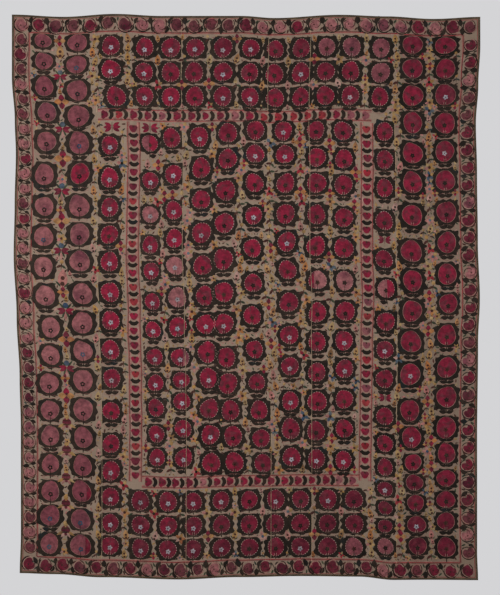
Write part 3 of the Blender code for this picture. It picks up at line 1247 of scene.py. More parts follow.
@dataclass
class Rosettes:
    """Every rosette of the fields as arrays, with one more for each part beyond a seam.

    Attributes:
        centre: Flat places.
        size: Half the disc's width and height.
        wreath: Half the wreath's width and height.
        field: Which field each belongs to, as its place in Field.
        rose: True where the disc is in rose.
        low: The least u that each may reach.
        high: The greatest u.
        seed: A number from 0 to 1 for each.
        pale: True where the heart is pale.
        below: How far down the next rosette's centre is.
    """

    centre: Array
    size: Array
    wreath: Array
    field: Array
    rose: Array
    low: Array
    high: Array
    seed: Array
    pale: Array
    below: Array

    @classmethod
    def laid_out(cls, columns: tuple[Column, ...], seams: Array, width: float) -> Rosettes:
        """Works every rosette out from the columns.

        A disc is about as tall as it is wide, but both it and its wreath keep to their share
        of the space between the rows above and below.

        Args:
            columns: The columns.
            seams: Where the seams are.
            width: The cloth's width.

        Returns:
            The rosettes.
        """
        generator = np.random.default_rng(SEED + 1)
        kinds = list(Field)
        rows: list[tuple] = []
        for column in columns:
            v = np.array(column.rows)
            count = len(v)
            u = np.interp(np.arange(count), *np.array(column.across).T)
            room = np.diff(v, prepend=v[0] - 0.125, append=v[-1] + 0.125)
            least = np.minimum(room[:-1], room[1:])
            u = u + generator.normal(0, 1.2 * MM, count)
            vary = 1 + generator.normal(0, 0.03, count)
            tall = np.minimum(1.05 * column.radius * vary, 0.5 * least - 8.5 * MM)
            if column.field in (Field.LEFT, Field.RIGHT):
                tall[0] = min(tall[0], v[0] - 0.0805)
            spare = 3.5 * MM if column.field is Field.RIGHT else 2 * MM
            wreath_tall = np.minimum(column.wreath * vary, 0.5 * least - spare)
            wide = np.minimum(column.radius * vary, np.where(np.arange(count), 1.12, 1.3) * tall)
            wreath_wide = np.minimum(column.wreath * vary, 1.3 * wreath_tall)
            for i in range(count):
                rose = (column.thread is Thread.ROSE) != (i in column.others)
                spot = (u[i], v[i], wide[i], tall[i], wreath_wide[i], wreath_tall[i])
                kind = kinds.index(column.field)
                last = (generator.uniform(), generator.uniform() < column.pale, room[i + 1])
                cuts = [cut for cut in column.parted if cut[0] == i]
                if cuts:
                    _, share, other_left = cuts[0]
                    edge = u[i] + share * wide[i]
                    rows.append((*spot, kind, rose != other_left, 0.0, edge, *last))
                    rows.append((*spot, kind, rose == other_left, edge, width, *last))
                else:
                    rows.append((*spot, kind, rose, 0.0, width, *last))
        table = cls.cut_at_seams(np.array(rows, float), seams, generator)
        return cls(
            table[:, 0:2], table[:, 2:4], table[:, 4:6], table[:, 6].astype(int),
            table[:, 7] > 0.5, table[:, 8], table[:, 9], table[:, 10], table[:, 11] > 0.5,
            table[:, 12],
        )

    @staticmethod
    def cut_at_seams(table: Array, seams: Array, generator: np.random.Generator) -> Array:
        """Cuts the rosettes at the seams, where the two strips' work doesn't quite meet.

        Args:
            table: The rosettes, with their limits across in columns 8 and 9.
            seams: Where the seams are.
            generator: Draws how far the halves miss each other.

        Returns:
            The table with one row for each part of a rosette.
        """
        bare = 1.3 * MM
        for seam in seams:
            u, reach = table[:, 0], table[:, 4]
            near = np.abs(u - seam) < reach + 4 * MM
            over = near & (np.abs(u - seam) < reach - 16 * MM)
            over &= (table[:, 8] < seam) & (table[:, 9] > seam)
            on_left = u < seam
            main, rest = table.copy(), table[over].copy()
            left, right = near & on_left, near & ~on_left
            main[left, 9] = np.minimum(main[left, 9], seam - bare)
            main[right, 8] = np.maximum(main[right, 8], seam + bare)
            rest_left = ~on_left[over]
            rest[rest_left, 9] = np.minimum(rest[rest_left, 9], seam - bare)
            rest[~rest_left, 8] = np.maximum(rest[~rest_left, 8], seam + bare)
            away = generator.choice([-1, 1], len(rest)) * generator.uniform(1, 4, len(rest))
            rest[:, 1] += away * MM
            table = np.concatenate([main, rest])
        return table[table[:, 9] - table[:, 8] > 3 * MM]

    def where(self, keep: Array) -> Rosettes:
        """The rosettes that a test keeps."""
        return Rosettes(*(values[keep] for values in vars(self).values()))

    def whole(self) -> Rosettes:
        """Only the parts that hold their rosette's centre."""
        return self.where((self.centre[:, 0] > self.low) & (self.centre[:, 0] < self.high))

    def in_fields(self, *fields: Field) -> Array:
        """True for the rosettes of some fields."""
        kinds = list(Field)
        return np.isin(self.field, [kinds.index(field) for field in fields])

    def leaf_places(self) -> tuple[Array, Array]:
        """Where the pair of leaves below each rosette is, and how thick the leaves are.

        The pair lies halfway to the next rosette, or just below the wreath if that is nearer.

        Returns:
            The places and the thicknesses.
        """
        free = 0.5 * self.below - self.wreath[:, 1]
        down = self.wreath[:, 1] + np.clip(free, 2 * MM, 9 * MM)
        places = self.centre + np.stack([0 * down, down], -1)
        return places, np.clip(1.4 * free + 10 * MM, 13 * MM, 22 * MM)

    def reverse_colours(self, flat: Array) -> Array:
        """Colour and density of the stitches that show on the cloth's back at flat places.

        A place inside the nearest disc takes the disc's colour, one inside its wreath the
        dark thread's, and one between rosettes a sparse ochre.

        Args:
            flat: Flat places.

        Returns:
            Red, green, blue and density at each.
        """
        nearest = np.full(len(flat), np.inf)
        colours = np.tile([*linear((120, 84, 52))[:3], 0.3], (len(flat), 1))
        crimson, rose, dark = (
            np.array([*linear(thread.value.fresh)[:3], 0.9])
            for thread in (Thread.CRIMSON, Thread.ROSE, Thread.DARK)
        )
        for centre, size, is_rose in zip(self.centre, self.wreath, self.rose):
            far = np.linalg.norm((flat - centre) / size, axis=1)
            closer = far < nearest
            nearest = np.where(closer, far, nearest)
            disc = rose if is_rose else crimson
            colours[closer & (far < 0.76)] = disc
            colours[closer & (far >= 0.76) & (far < 1.02)] = dark
        return colours


@dataclass
class Stitcher:
    """What all stitching shares: where its work goes, and random draws of its own."""

    work: Needlework
    stream: ClassVar[int] = 0

    def __post_init__(self) -> None:
        """Starts the random draws."""
        self.generator = np.random.default_rng(SEED + self.stream)

    def tones(self, count: int) -> Array:
        """Even random numbers from 0 to 1, which shade a number of shapes."""
        return self.generator.uniform(0, 1, count)


@dataclass
class RosetteWork(Stitcher):
    """The stitching of the rosettes: wreath, disc, rim, heart, stem and leaves."""

    rosettes: Rosettes
    stream: ClassVar[int] = 2

    def stitch(self) -> None:
        """Works every part of every rosette."""
        for part in (self.wreaths, self.discs, self.rims, self.hearts, self.stems, self.leaf_pairs):
            part()

    def rim_points(self, rosettes: Rosettes, count: int) -> tuple[Array, Array]:
        """Outline of each disc, and the point its rows of thread run round.

        The outline is an ellipse with a soft point on top, made by a narrow bell round the
        upward angle, and slow two- and three-lobed wavers. The point lies below the middle.

        Args:
            rosettes: The rosettes.
            count: Points round each outline.

        Returns:
            The outlines and the points.
        """
        turn = circle(count)[None]
        seed = rosettes.seed[:, None]
        is_left = rosettes.in_fields(Field.LEFT)[:, None]
        point = np.where(is_left, 0.05 + 0.10 * seed, 0.02 + 0.10 * (seed * 17 % 1))
        top = bell(turn + math.pi / 2 + 0.9 * (seed - 0.5), 0.38)
        reach = 0.96 + point * top + 0.03 * np.cos(3 * turn + 20 * seed)
        reach = reach + 0.035 * np.cos(2 * turn + 47 * seed)
        rim = polar(turn, reach) * rosettes.size[:, None] + rosettes.centre[:, None]
        drop = np.where(is_left[:, 0], 0.26, 0.16) + 0.10 * (rosettes.seed * 7 % 1)
        shift = np.stack([0.08 * (rosettes.seed * 13 % 1 - 0.5), drop], -1)
        return rim, rosettes.centre + shift * rosettes.size

    def shade(self, rosettes: Rosettes, left: float, right: float, ends: float) -> Array:
        """Shades that change evenly across the cloth, and fast near its top and hem.

        Args:
            rosettes: The rosettes.
            left: Mean shade at the left.
            right: Mean shade at the right.
            ends: What is added at the hem, and half as much at the top, by a sixth power.

        Returns:
            One shade for each rosette, the same for both halves of a cut one.
        """
        across, down = (rosettes.centre / [self.work.cloth.width, self.work.cloth.height]).T
        add = ends * (0.5 * (1 - down) ** 6 + down**6)
        return left + (right - left) * across + add + 0.4 * (rosettes.seed * 57 % 1 - 0.5)

    def wreaths(self) -> None:
        """The dark wreath round each disc.

        The inner edge runs just under the disc's rim. The outer edge lies on the way from
        the rim to a rounded square: part of the way between its leaf points, and all the way
        at their tips. Each point has its own length, and the wreath is thin on top.
        """
        some, stations = self.rosettes, 56
        turn = circle(stations)[None]
        centre = some.centre[:, None]
        rim, _ = self.rim_points(some, stations)
        unique, which = np.unique(some.seed, return_inverse=True)
        m = len(unique)
        count = self.generator.integers(8, 12, m)[which] + 2 * some.in_fields(Field.RIGHT)
        count = count[:, None]
        phase = self.tones(m)[which][:, None]
        lengths = self.generator.uniform(0.55, 1.6, (m, 17))[which]
        peak = self.generator.uniform(0.3, 0.7, m)[which][:, None]
        step = turn / math.tau * count + phase
        share = step % 1
        rise = np.where(share < peak, share / peak, (1 - share) / (1 - peak)) ** 1.1
        rise = rise * np.take_along_axis(lengths, np.floor(step).astype(int) % count, 1)
        depth, corner = np.array([kind.value for kind in Field])[some.field].T[..., None]
        tip = polar(turn, 1.03 + corner * bump(4 * turn)) * some.wreath[:, None] + centre
        reach = (1 - depth + depth * rise) * (1 - 0.25 * bell(turn + math.pi / 2, 0.35))
        outer = rim + (tip - rim) * reach[..., None]
        inner = centre + (rim - centre) * 0.92
        batch = ribbon(inner, outer, 0.75 * MM, self.shade(some, 0.85, 0.3, -0.2), looped=True)
        self.work.add("wreaths", Thread.DARK, batch, some)

    def discs(self) -> None:
        """The disc of each rosette, its rows of thread running round the heart.

        The rose ones are painted lighter by a bell down the cloth, most at its middle: painted light
        that brightens the middle rows.
        """
        for thread, is_rose in ((Thread.CRIMSON, False), (Thread.ROSE, True)):
            some = self.rosettes.where(self.rosettes.rose == is_rose)
            tone = self.shade(some, 0.1, 0.45, 0.9)
            if is_rose:
                # painted light: the bell lifts the rose discs' tone towards their lighter colour, most
                # in the middle rows
                tone = 0.3 * tone + 0.8 * np.exp(-(((some.centre[:, 1] - 1.25) / 0.55) ** 2))
            self.work.add("discs", thread, dome(*self.rim_points(some, 36), 1.05 * MM, tone), some)

    def rims(self) -> None:
        """The rim of each disc: dashes in most fields, and a fine line in the rest."""
        dashed = self.rosettes.in_fields(Field.INNER, Field.OUTER)
        some, count = self.rosettes.where(dashed), 22
        rim, _ = self.rim_points(some, count)
        root = some.centre[:, None] + (rim - some.centre[:, None]) * 0.955
        ahead = np.roll(root, -1, axis=1) - root
        turn = np.arctan2(ahead[..., 1], ahead[..., 0]).ravel()
        length = np.linalg.norm(ahead, axis=-1).ravel()
        inside = (root[..., 0] > some.low[:, None]) & (root[..., 0] < some.high[:, None])
        kept = inside.ravel() & (self.tones(length.size) < 0.93)
        tone = self.tones(length.size)[kept]
        low, high = (np.repeat(edge, count)[kept] for edge in (some.low, some.high))
        outline = leaf_outline(0.62, 0.33, count=3)
        root, turn, length = root.reshape(-1, 2)[kept], turn[kept], length[kept]
        batch = leaves(outline, root, turn, length, 1.25 * MM, tone, base=0.5 * MM, ridged=True)
        self.work.add("rim_dashes", Thread.PALE, batch.clipped(low, high))
        some = self.rosettes.where(~dashed)
        rim, _ = self.rim_points(some, 36)
        spokes = rim - some.centre[:, None]
        path = some.centre[:, None] + spokes * 0.98
        half = 1.0 * MM * (spokes / np.linalg.norm(spokes, axis=-1, keepdims=True))
        looks = {"base": 0.4 * MM, "looped": True, "ridged": True}
        batch = ribbon(path - half, path + half, 1.2 * MM, self.tones(len(path)), **looks)
        self.work.add("rim_lines", Thread.DUSTY, batch, some)

    def hearts(self) -> None:
        """The small flower at the heart of each disc: a ring, or petals with a core."""
        rosettes = self.rosettes
        _, heart = self.rim_points(rosettes, 8)
        inside = (heart[:, 0] > rosettes.low + 1 * MM) & (heart[:, 0] < rosettes.high - 1 * MM)
        draw = rosettes.seed * 31 % 1
        is_left, pale = rosettes.in_fields(Field.LEFT), rosettes.pale
        turn = circle(24)[None]
        petals = 0.56 + 0.44 * np.abs(np.cos(2.5 * turn + 9 * rosettes.seed[:, None]))
        blue = (draw >= 0.85) | (rosettes.centre[:, 1] > 2.2)
        for thread, test in ((Thread.DARK, ~blue), (Thread.BLUE, blue)):
            keep = test & inside & is_left
            reach = 12.5 * MM * (0.3 + 0.7 * petals[keep])
            inner, outer = (polar(turn, part * reach) + heart[keep][:, None] for part in (0.28, 1))
            tone = 0.4 * self.tones(keep.sum())
            batch = ribbon(inner, outer, 1.6 * MM, tone, base=0.9 * MM, looped=True)
            self.work.add("hearts", thread, batch, rosettes.where(keep))
        for thread, core, test in (
            (Thread.LILAC, Thread.DARK, pale),
            (Thread.DARK, Thread.BROWN, ~pale & (draw < 0.75)),
            (Thread.BROWN, Thread.DARK, ~pale & (draw >= 0.75)),
        ):
            keep = test & inside & ~is_left
            middle, some = heart[keep], rosettes.where(keep)
            reach = np.where(some.pale, 14.5 * MM, 14.0 * MM)[:, None] * petals[keep]
            tone = self.tones(len(middle))
            rim = polar(turn, reach) + middle[:, None]
            batch = dome(rim, middle, 1.6 * MM, tone, base=0.9 * MM, rings=(0.6, 1.0))
            self.work.add("hearts", thread, batch, some)
            rim = polar(circle(9)[None], 3.6 * MM + 0 * reach[:, :9]) + middle[:, None]
            batch = dome(rim, middle, 2.0 * MM, tone, base=1.4 * MM, rings=(0.5, 1.0))
            self.work.add("heart_cores", core, batch, some)

    def stems(self) -> None:
        """The stem from each heart down through the rim, between two pale ticks."""
        some = self.rosettes.whole()
        _, heart = self.rim_points(some, 8)
        foot = some.leaf_places()[0] + np.array([0, 3 * MM])
        share = np.linspace(0.12, 1, 6)[None, :, None]
        path = heart[:, None] + (foot - heart)[:, None] * share
        path[..., 0] += 2.0 * MM * np.sin(np.pi * share[..., 0]) * (some.seed[:, None] - 0.5)
        batch = line(path, 4.8 * MM, 1.5 * MM, self.tones(len(path)), base=0.2 * MM, ridged=True)
        self.work.add("stems", Thread.DARK, batch, some)
        some = some.where(~some.in_fields(Field.LEFT))
        outline = leaf_outline(12 * MM, 3.0 * MM, count=3)
        for side in (-1, 1):
            root = some.centre + np.stack([side * 5.0 * MM + 0 * some.seed, 0.62 * some.size[:, 1]], -1)
            down = np.full(len(root), math.pi / 2) + 0.12 * side
            looks = {"base": 0.7 * MM, "ridged": True}
            batch = leaves(outline, root, down, 1.0, 1.35 * MM, self.tones(len(root)), **looks)
            self.work.add("rim_dashes", Thread.PALE, batch, some)

    def leaf_pairs(self) -> None:
        """The pair of level leaves below each rosette, between two fine pale lines."""
        some = self.rosettes.whole()
        some = some.where(some.leaf_places()[0][:, 1] < 2.400)
        place, thick = some.leaf_places()
        size = np.clip(some.wreath[:, 0] / 0.058, 0.8, 1.1)
        for side in (0, 1):
            turn = np.full(len(place), math.pi * side) + 0.14 * (2 * side - 1)
            outline = leaf_outline(33 * MM, 11 * MM, bend=(4 * side - 2) * MM)
            path = placed(outline[:, :2], place, turn, size)
            width = outline[:, 2] * (thick / (11 * MM))[:, None]
            batch = line(path, width, 1.0 * MM, self.shade(some, 0.8, 0.3, -0.2))
            batch = batch.clipped(some.low, some.high).where(thick > 14 * MM)
            self.work.add("leaf_pairs", Thread.DARK, batch)
        share = np.linspace(-1, 1, 7)
        for side in (-1, 1):
            across = 36 * MM * size[:, None] * share
            down = side * (thick[:, None] / 2 + 1.8 * MM) * np.cos(share * 1.35)
            path = place[:, None] + np.stack([across, down - 1 * MM], -1)
            batch = line(path, 2.2 * MM, 1.15 * MM, self.tones(len(place)), ridged=True)
            self.work.add("leaf_lines", Thread.DUSTY, batch, some)


@dataclass(frozen=True)
class Run:
    """A straight length of border."""

    start: tuple[float, float]
    end: tuple[float, float]
    pitch: float
    half: float = 0.0235

    def spots(self, margin: float = 0.5) -> tuple[Array, Array]:
        """Evenly spaced places along the run, and its heading at each.

        Args:
            margin: Pitches left free at both ends.

        Returns:
            The places and the headings.
        """
        start, end = np.array(self.start), np.array(self.end)
        length = float(np.linalg.norm(end - start))
        count = max(1, round(length / self.pitch - 2 * margin) + 1)
        inset = margin * self.pitch / length
        share = np.linspace(inset, 1 - inset, count)[:, None]
        places = start + (end - start) * share
        heading = math.atan2(*(end - start)[::-1])
        return places, np.full(count, heading)

    def beside(self, offset: float) -> Array:
        """The two ends of a line beside the run, offset to its left."""
        start, end = np.array(self.start), np.array(self.end)
        ahead = (end - start) / np.linalg.norm(end - start)
        side = np.array([ahead[1], -ahead[0]])
        return np.stack([start + side * offset, end + side * offset])

    def away(self, places: Array) -> Array:
        """How far flat places are from the run's middle line."""
        start, end = np.array(self.start), np.array(self.end)
        whole = end - start
        share = np.clip((places - start) @ whole / (whole @ whole), 0, 1)
        return np.linalg.norm(places - start - share[:, None] * whole, axis=1)


INNER_BORDER = (
    Run((0.372, 0.443), (1.594, 0.443), 0.0630),
    Run((0.529, 0.474), (0.516, 2.064), 0.0635, 0.0265),
    Run((1.572, 0.474), (1.553, 2.064), 0.0635, 0.0255),
    Run((0.546, 2.064), (1.526, 2.064), 0.0630),
)


@dataclass(frozen=True)
class Curl:
    """How the flowers of one side of the outer border look.

    Attributes:
        radius: Half a flower's width.
        notch: How deep the vine curls into it, as a share of its radius.
        aim: Which way the notch opens, in radians from the right, going down.
        rose: Share of the flowers in rose.
        red: Share of them in crimson.
        leaf: Length of the leaves between the flowers.
        arc: Thread, width and angle of the arc that lies outside each flower.
    """

    radius: float
    notch: float
    aim: float
    rose: float
    red: float
    leaf: float
    arc: tuple[Thread, float, float]


@dataclass
class Borders(Stitcher):
    """The flowered borders: one round the cloth's edge, and a narrow one round the inner field."""

    outer_middle: float = 41.5 * MM
    outer_line: float = 76.5 * MM
    tape_line: float = 12.5 * MM
    stream: ClassVar[int] = 3

    def stitch(self) -> None:
        """Works both borders and their lines."""
        cloth, middle = self.work.cloth, self.outer_middle
        far, low = cloth.width - middle, cloth.height - middle
        left = Run((middle, cloth.height - 0.085), (middle, 0.075), 0.0675)
        right = Run((far, 0.085), (far, cloth.height - 0.085), 0.0765)
        top = Run((0.005, middle), (cloth.width - 0.005, middle), 0.0770)
        bottom = Run((cloth.width - 0.005, low), (0.005, low), 0.0770)
        fine, strong = (Thread.BROWN, 4.2 * MM, 5.0), (Thread.DARK, 6.2 * MM, 4.8)
        part = (Thread.DARK, 8.5 * MM, 2.6)
        self.outer_flowers(left, Curl(24.0 * MM, 0.45, -1.2, 0.55, 0.15, 27 * MM, fine))
        self.outer_flowers(right, Curl(26.0 * MM, 0.60, -2.3, 0.12, 0.55, 33 * MM, strong))
        self.outer_flowers(top, Curl(27.0 * MM, 0.30, -0.4, 0.35, 0.3, 34 * MM, part))
        self.outer_flowers(bottom, Curl(26.5 * MM, 0.36, -0.6, 0.2, 0.4, 34 * MM, part))
        for inset in (self.outer_line, self.tape_line):
            far, low = cloth.width - inset, cloth.height - inset
            corners = np.array([(inset, inset), (far, inset), (far, low), (inset, low)])
            for first, second in zip(corners, np.roll(corners, -1, axis=0)):
                if inset == self.outer_line:
                    self.double_line(first, second)
                else:
                    path = first + (second - first) * np.linspace(0, 1, 150)[:, None]
                    batch = line(path[None], 3.0 * MM, 0.55 * MM, np.array([0.4]), ridged=True)
                    self.work.add("lines", Thread.VERMILION, batch)
        for run in INNER_BORDER:
            for offset in (-run.half, run.half):
                self.double_line(*run.beside(offset), 0.85)
                first, last = run.beside(0.70 * offset)
                path = first + (last - first) * np.linspace(0, 1, 90)[:, None]
                batch = line(path[None], 8.0 * MM, 0.4 * MM, np.array([0.5]))
                self.work.add("lines", Thread.DUSTY, batch)
            self.inner_flowers(*run.spots(0.45), run.pitch)

    def outer_flowers(self, run: Run, curl: Curl) -> None:
        """The curling flowers of the outer border, their vine and their leaves.

        Each flower is a round with a notch where the vine curls in, inside a pale outline and
        part of a darker one. Its reach is the radius less a bell round the notch's angle.

        Args:
            run: The length of border.
            curl: How its flowers look.
        """
        places, heading = run.spots()
        n, radius = len(places), curl.radius
        flip = np.where(np.arange(n) % 2, 1.0, -1.0)
        normal = np.stack([np.sin(heading), -np.cos(heading)], -1)
        sway = flip * 2.0 * MM + self.generator.normal(0, 1.0 * MM, n)
        centre = places + normal * sway[:, None]
        lay = partial(placed, centre=centre, turn=heading, size=1 + self.generator.normal(0, 0.05, n))
        turn = circle(32)
        aim = curl.aim - heading[:, None] + self.generator.normal(0, 0.3, n)[:, None]
        near = bell(turn - aim, 0.5)
        waver = 0.03 * np.cos(3 * turn + 9 * self.tones(n)[:, None])
        petals = lay(polar(turn, radius * (1 - curl.notch * near + waver)))
        middle = lay(polar(aim, -0.2 * radius + 0 * aim))[:, 0]
        draw = self.tones(n)
        rose, red = draw < curl.rose, draw > 1 - curl.red
        for some, thread in ((~rose & ~red, Thread.PLUM), (red, Thread.CRIMSON), (rose, Thread.ROSE)):
            tone = 0.7 + 0.5 * self.tones(some.sum())
            batch = dome(petals[some], middle[some], 0.95 * MM, tone, rings=(0.5, 0.9, 1.0))
            self.work.add("border_flowers", thread, batch)
        low, high = {"base": 0.1 * MM, "ridged": True}, {"base": 0.5 * MM, "ridged": True}
        ring = radius * (1.07 - 0.8 * curl.notch * near + waver)
        inner, outer = (lay(polar(turn, ring + side * 1.7 * MM)) for side in (-1, 1))
        batch = ribbon(inner, outer, 1.1 * MM, self.tones(n), looped=True, **low)
        self.work.add("border_outlines", Thread.DUSTY, batch)
        thread, wide, angle = curl.arc
        share = np.linspace(-1, 1, 17)
        around = aim + math.pi + self.generator.normal(0, 0.4, n)[:, None] + angle / 2 * share
        arcs = lay(polar(around, 1.2 * radius + 0 * around))
        batch = line(arcs, wide * (1 - 0.75 * share**4), 1.1 * MM, self.tones(n), **low)
        self.work.add("border_outlines", thread, batch)
        self.cores(middle, 4.6 * MM)
        share = np.linspace(0, 1, 10)
        for start, thread in ((0.0, Thread.DARK), (2.6, Thread.BROWN)):
            spiral = polar(aim + start - 0.6 + 2.4 * share, radius * (1.1 - 0.65 * share) + 0 * aim)
            batch = line(lay(spiral), 3.8 * MM, 1.45 * MM, self.tones(n), **high)
            self.work.add("border_vines", thread, batch)
        self.vine(places, heading, flip, run, curl)

    def cores(self, places: Array, radius: float) -> None:
        """The brown core of each flower."""
        rim = polar(circle(9), radius)[None] + places[:, None]
        tone = self.tones(len(places))
        batch = dome(rim, places, 1.5 * MM, tone, base=0.7 * MM, rings=(0.6, 1.0))
        self.work.add("border_cores", Thread.BROWN, batch)

    def vine(self, places: Array, heading: Array, flip: Array, run: Run, curl: Curl) -> None:
        """The vine that swings between the flowers, with a leaf on each side of it.

        Args:
            places: The even places along the run.
            heading: The run's heading.
            flip: Which side each flower's vine comes from, as 1 or -1.
            run: The length of border.
            curl: How its flowers look.
        """
        n = len(places) - 1
        share = np.linspace(0, 1, 9)
        between, heading, flip = (places[1:] + places[:-1]) / 2, heading[1:], flip[1:]
        local = np.stack([(share - 0.5) * run.pitch * 0.42, 21 * MM * np.cos(math.pi * share)], -1)
        local = local * np.stack([np.ones(n), flip], -1)[:, None]
        vines = placed(local, between, heading)
        batch = line(vines, 4.6 * MM, 0.6 * MM, self.tones(n), ridged=True)
        self.work.add("border_vines", Thread.DARK, batch)
        ahead = np.stack([np.cos(heading), np.sin(heading)], -1)
        normal = np.stack([np.sin(heading), -np.cos(heading)], -1)
        for side in (1, -1):
            outline = leaf_outline(curl.leaf, 0.72 * curl.leaf, bend=5 * MM, count=6)
            root = between + normal * side * 3 * MM + ahead * (3 * MM * side * flip)[:, None]
            turn = heading - side * math.pi / 2 + self.generator.normal(0.25 * flip, 0.2, n)
            some = self.generator.uniform(0, 1, n) < 0.96
            size = 1 + self.generator.normal(0, 0.1, some.sum())
            batch = leaves(outline, root[some], turn[some], size, 0.8 * MM, self.tones(some.sum()))
            self.work.add("border_leaves", Thread.DARK, batch)
            outline = leaf_outline(0.6 * curl.leaf, 0.32 * curl.leaf, bend=3 * MM, count=5)
            for thread, aside in ((Thread.GREEN, 1), (Thread.BROWN, -1)):
                place = root + normal * side * 8 * MM + ahead * aside * 7 * MM
                lean = turn + side * aside * 0.9
                batch = leaves(outline, place, lean, 1.0, 0.7 * MM, self.tones(n), ridged=True)
                self.work.add("border_leaves", thread, batch)

    def double_line(self, start: Array, end: Array, wide: float = 1.0) -> None:
        """A vermilion line with a fine brown line on its left and a pink one each side.

        Args:
            start: Flat place of one end.
            end: Flat place of the other.
            wide: Size of the whole.
        """
        start, end = np.asarray(start, float), np.asarray(end, float)
        length = float(np.linalg.norm(end - start))
        ahead = (end - start) / length
        side = np.array([-ahead[1], ahead[0]])
        share = np.linspace(0, 1, max(8, round(length / (14 * MM))))
        waver = 0.7 * MM * np.sin(share * length * 37 + start.sum() * 50)
        path = start + (end - start) * share[:, None] + side * waver[:, None]
        for thread, offset, broad in (
            (Thread.VERMILION, 0.0, 4.8), (Thread.BROWN, -3.4, 2.4), (Thread.DUSTY, -6.0, 2.6),
            (Thread.DUSTY, 4.6, 2.8),
        ):
            beside = path + side * offset * MM * wide
            batch = line(beside[None], broad * MM * wide, 0.7 * MM, np.array([0.4]), ridged=True)
            self.work.add("lines", thread, batch)

    def inner_flowers(self, places: Array, heading: Array, pitch: float) -> None:
        """Fan-shaped flowers in a pale outline, with dark crescents between them.

        A fan's reach has three lobes, and it is flatter along the border than across.

        Args:
            places: The flowers' places.
            heading: The border's heading at each.
            pitch: The flowers' spacing.
        """
        n = len(places)
        places = places + self.generator.normal(0, 1.0 * MM, places.shape)
        turn = circle(28)
        size = 1 + self.generator.normal(0, 0.06, n)
        lobes = 0.94 + 0.14 * np.cos(3 * turn) + 0.04 * np.cos(turn)
        squash = np.array([0.76, 1.0])
        rim, inner, outer = (
            placed(polar(turn, reach * MM * lobes) * squash, places, heading, size)
            for reach in (22.5, 22.3, 25.5)
        )
        draw = self.tones(n)
        for some, thread in (
            (draw < 0.62, Thread.CRIMSON), ((draw >= 0.62) & (draw < 0.88), Thread.VERMILION),
            (draw >= 0.88, Thread.ROSE),
        ):
            tone = self.tones(some.sum())
            batch = dome(rim[some], places[some], 0.95 * MM, tone, rings=(0.5, 0.9, 1.0))
            self.work.add("inner_border_flowers", thread, batch)
        batch = ribbon(inner, outer, 0.8 * MM, self.tones(n), looped=True, ridged=True)
        self.work.add("border_outlines", Thread.DUSTY, batch)
        ahead = np.stack([np.cos(heading), np.sin(heading)], -1)
        between = places[:-1] + ahead[:-1] * pitch / 2
        arc = np.linspace(-1.05, 1.05, 8)
        local = polar(arc, 22 * MM + 0 * arc) - np.array([19 * MM, 0])
        width = 19 * MM * np.cos(arc / 1.45) ** 0.7
        batch = line(placed(local, between, heading[:-1]), width, 1.0 * MM, self.tones(n - 1))
        self.work.add("inner_border_crescents", Thread.DARK, batch)
        self.cores(placed(np.array([[-8 * MM, 0]]), places, heading)[:, 0], 4.8 * MM)


@dataclass
class Gaps:
    """Finds the bare places between the rosettes and the borders."""

    rosettes: Rosettes
    cloth: HungCloth
    step: float = 6 * MM
    places: Array = field(init=False)
    room: Array = field(init=False)

    def __post_init__(self) -> None:
        """Works out how much room there is at each place."""
        inset = 0.084
        us = np.arange(inset, self.cloth.width - inset, self.step)
        vs = np.arange(inset, self.cloth.height - inset, self.step)
        self.places = np.stack(np.meshgrid(us, vs), -1).reshape(-1, 2)
        u, v = self.places.T
        edges = np.stack([u, v, self.cloth.width - u, self.cloth.height - v])
        self.room = edges.min(0) - inset
        for run in INNER_BORDER:
            self.room = np.minimum(self.room, run.away(self.places) - run.half - 6 * MM)
        for centre, size in zip(self.rosettes.centre, self.rosettes.wreath):
            offset = self.places - centre
            far = np.maximum(np.linalg.norm(offset / size, axis=1), 0.05)
            room = (1 - 0.97 / far) * np.linalg.norm(offset, axis=1)
            self.room = np.minimum(self.room, room)
        whole = self.rosettes.whole()
        for place, thick in zip(*whole.leaf_places()):
            leaf = Run((place[0] - 0.025, place[1]), (place[0] + 0.025, place[1]), 1.0)
            self.room = np.minimum(self.room, leaf.away(self.places) - thick / 2)

    def take(self, place: Array, reach: float) -> None:
        """Marks the room round a place as used."""
        away = np.linalg.norm(self.places - place, axis=1)
        self.room = np.minimum(self.room, away - reach)

    def fill(self, least: float, most: float) -> tuple[Array, Array]:
        """Picks the roomiest places, one after another, until the rest are too tight.

        Args:
            least: The smallest room worth filling.
            most: The most room that one motif takes.

        Returns:
            The places and their room.
        """
        found: list[tuple[Array, float]] = []
        while self.room.max() > least:
            best = int(self.room.argmax())
            reach = min(float(self.room[best]), most)
            found.append((self.places[best], reach))
            self.take(self.places[best], reach)
        return np.array([place for place, _ in found]), np.array([reach for _, reach in found])


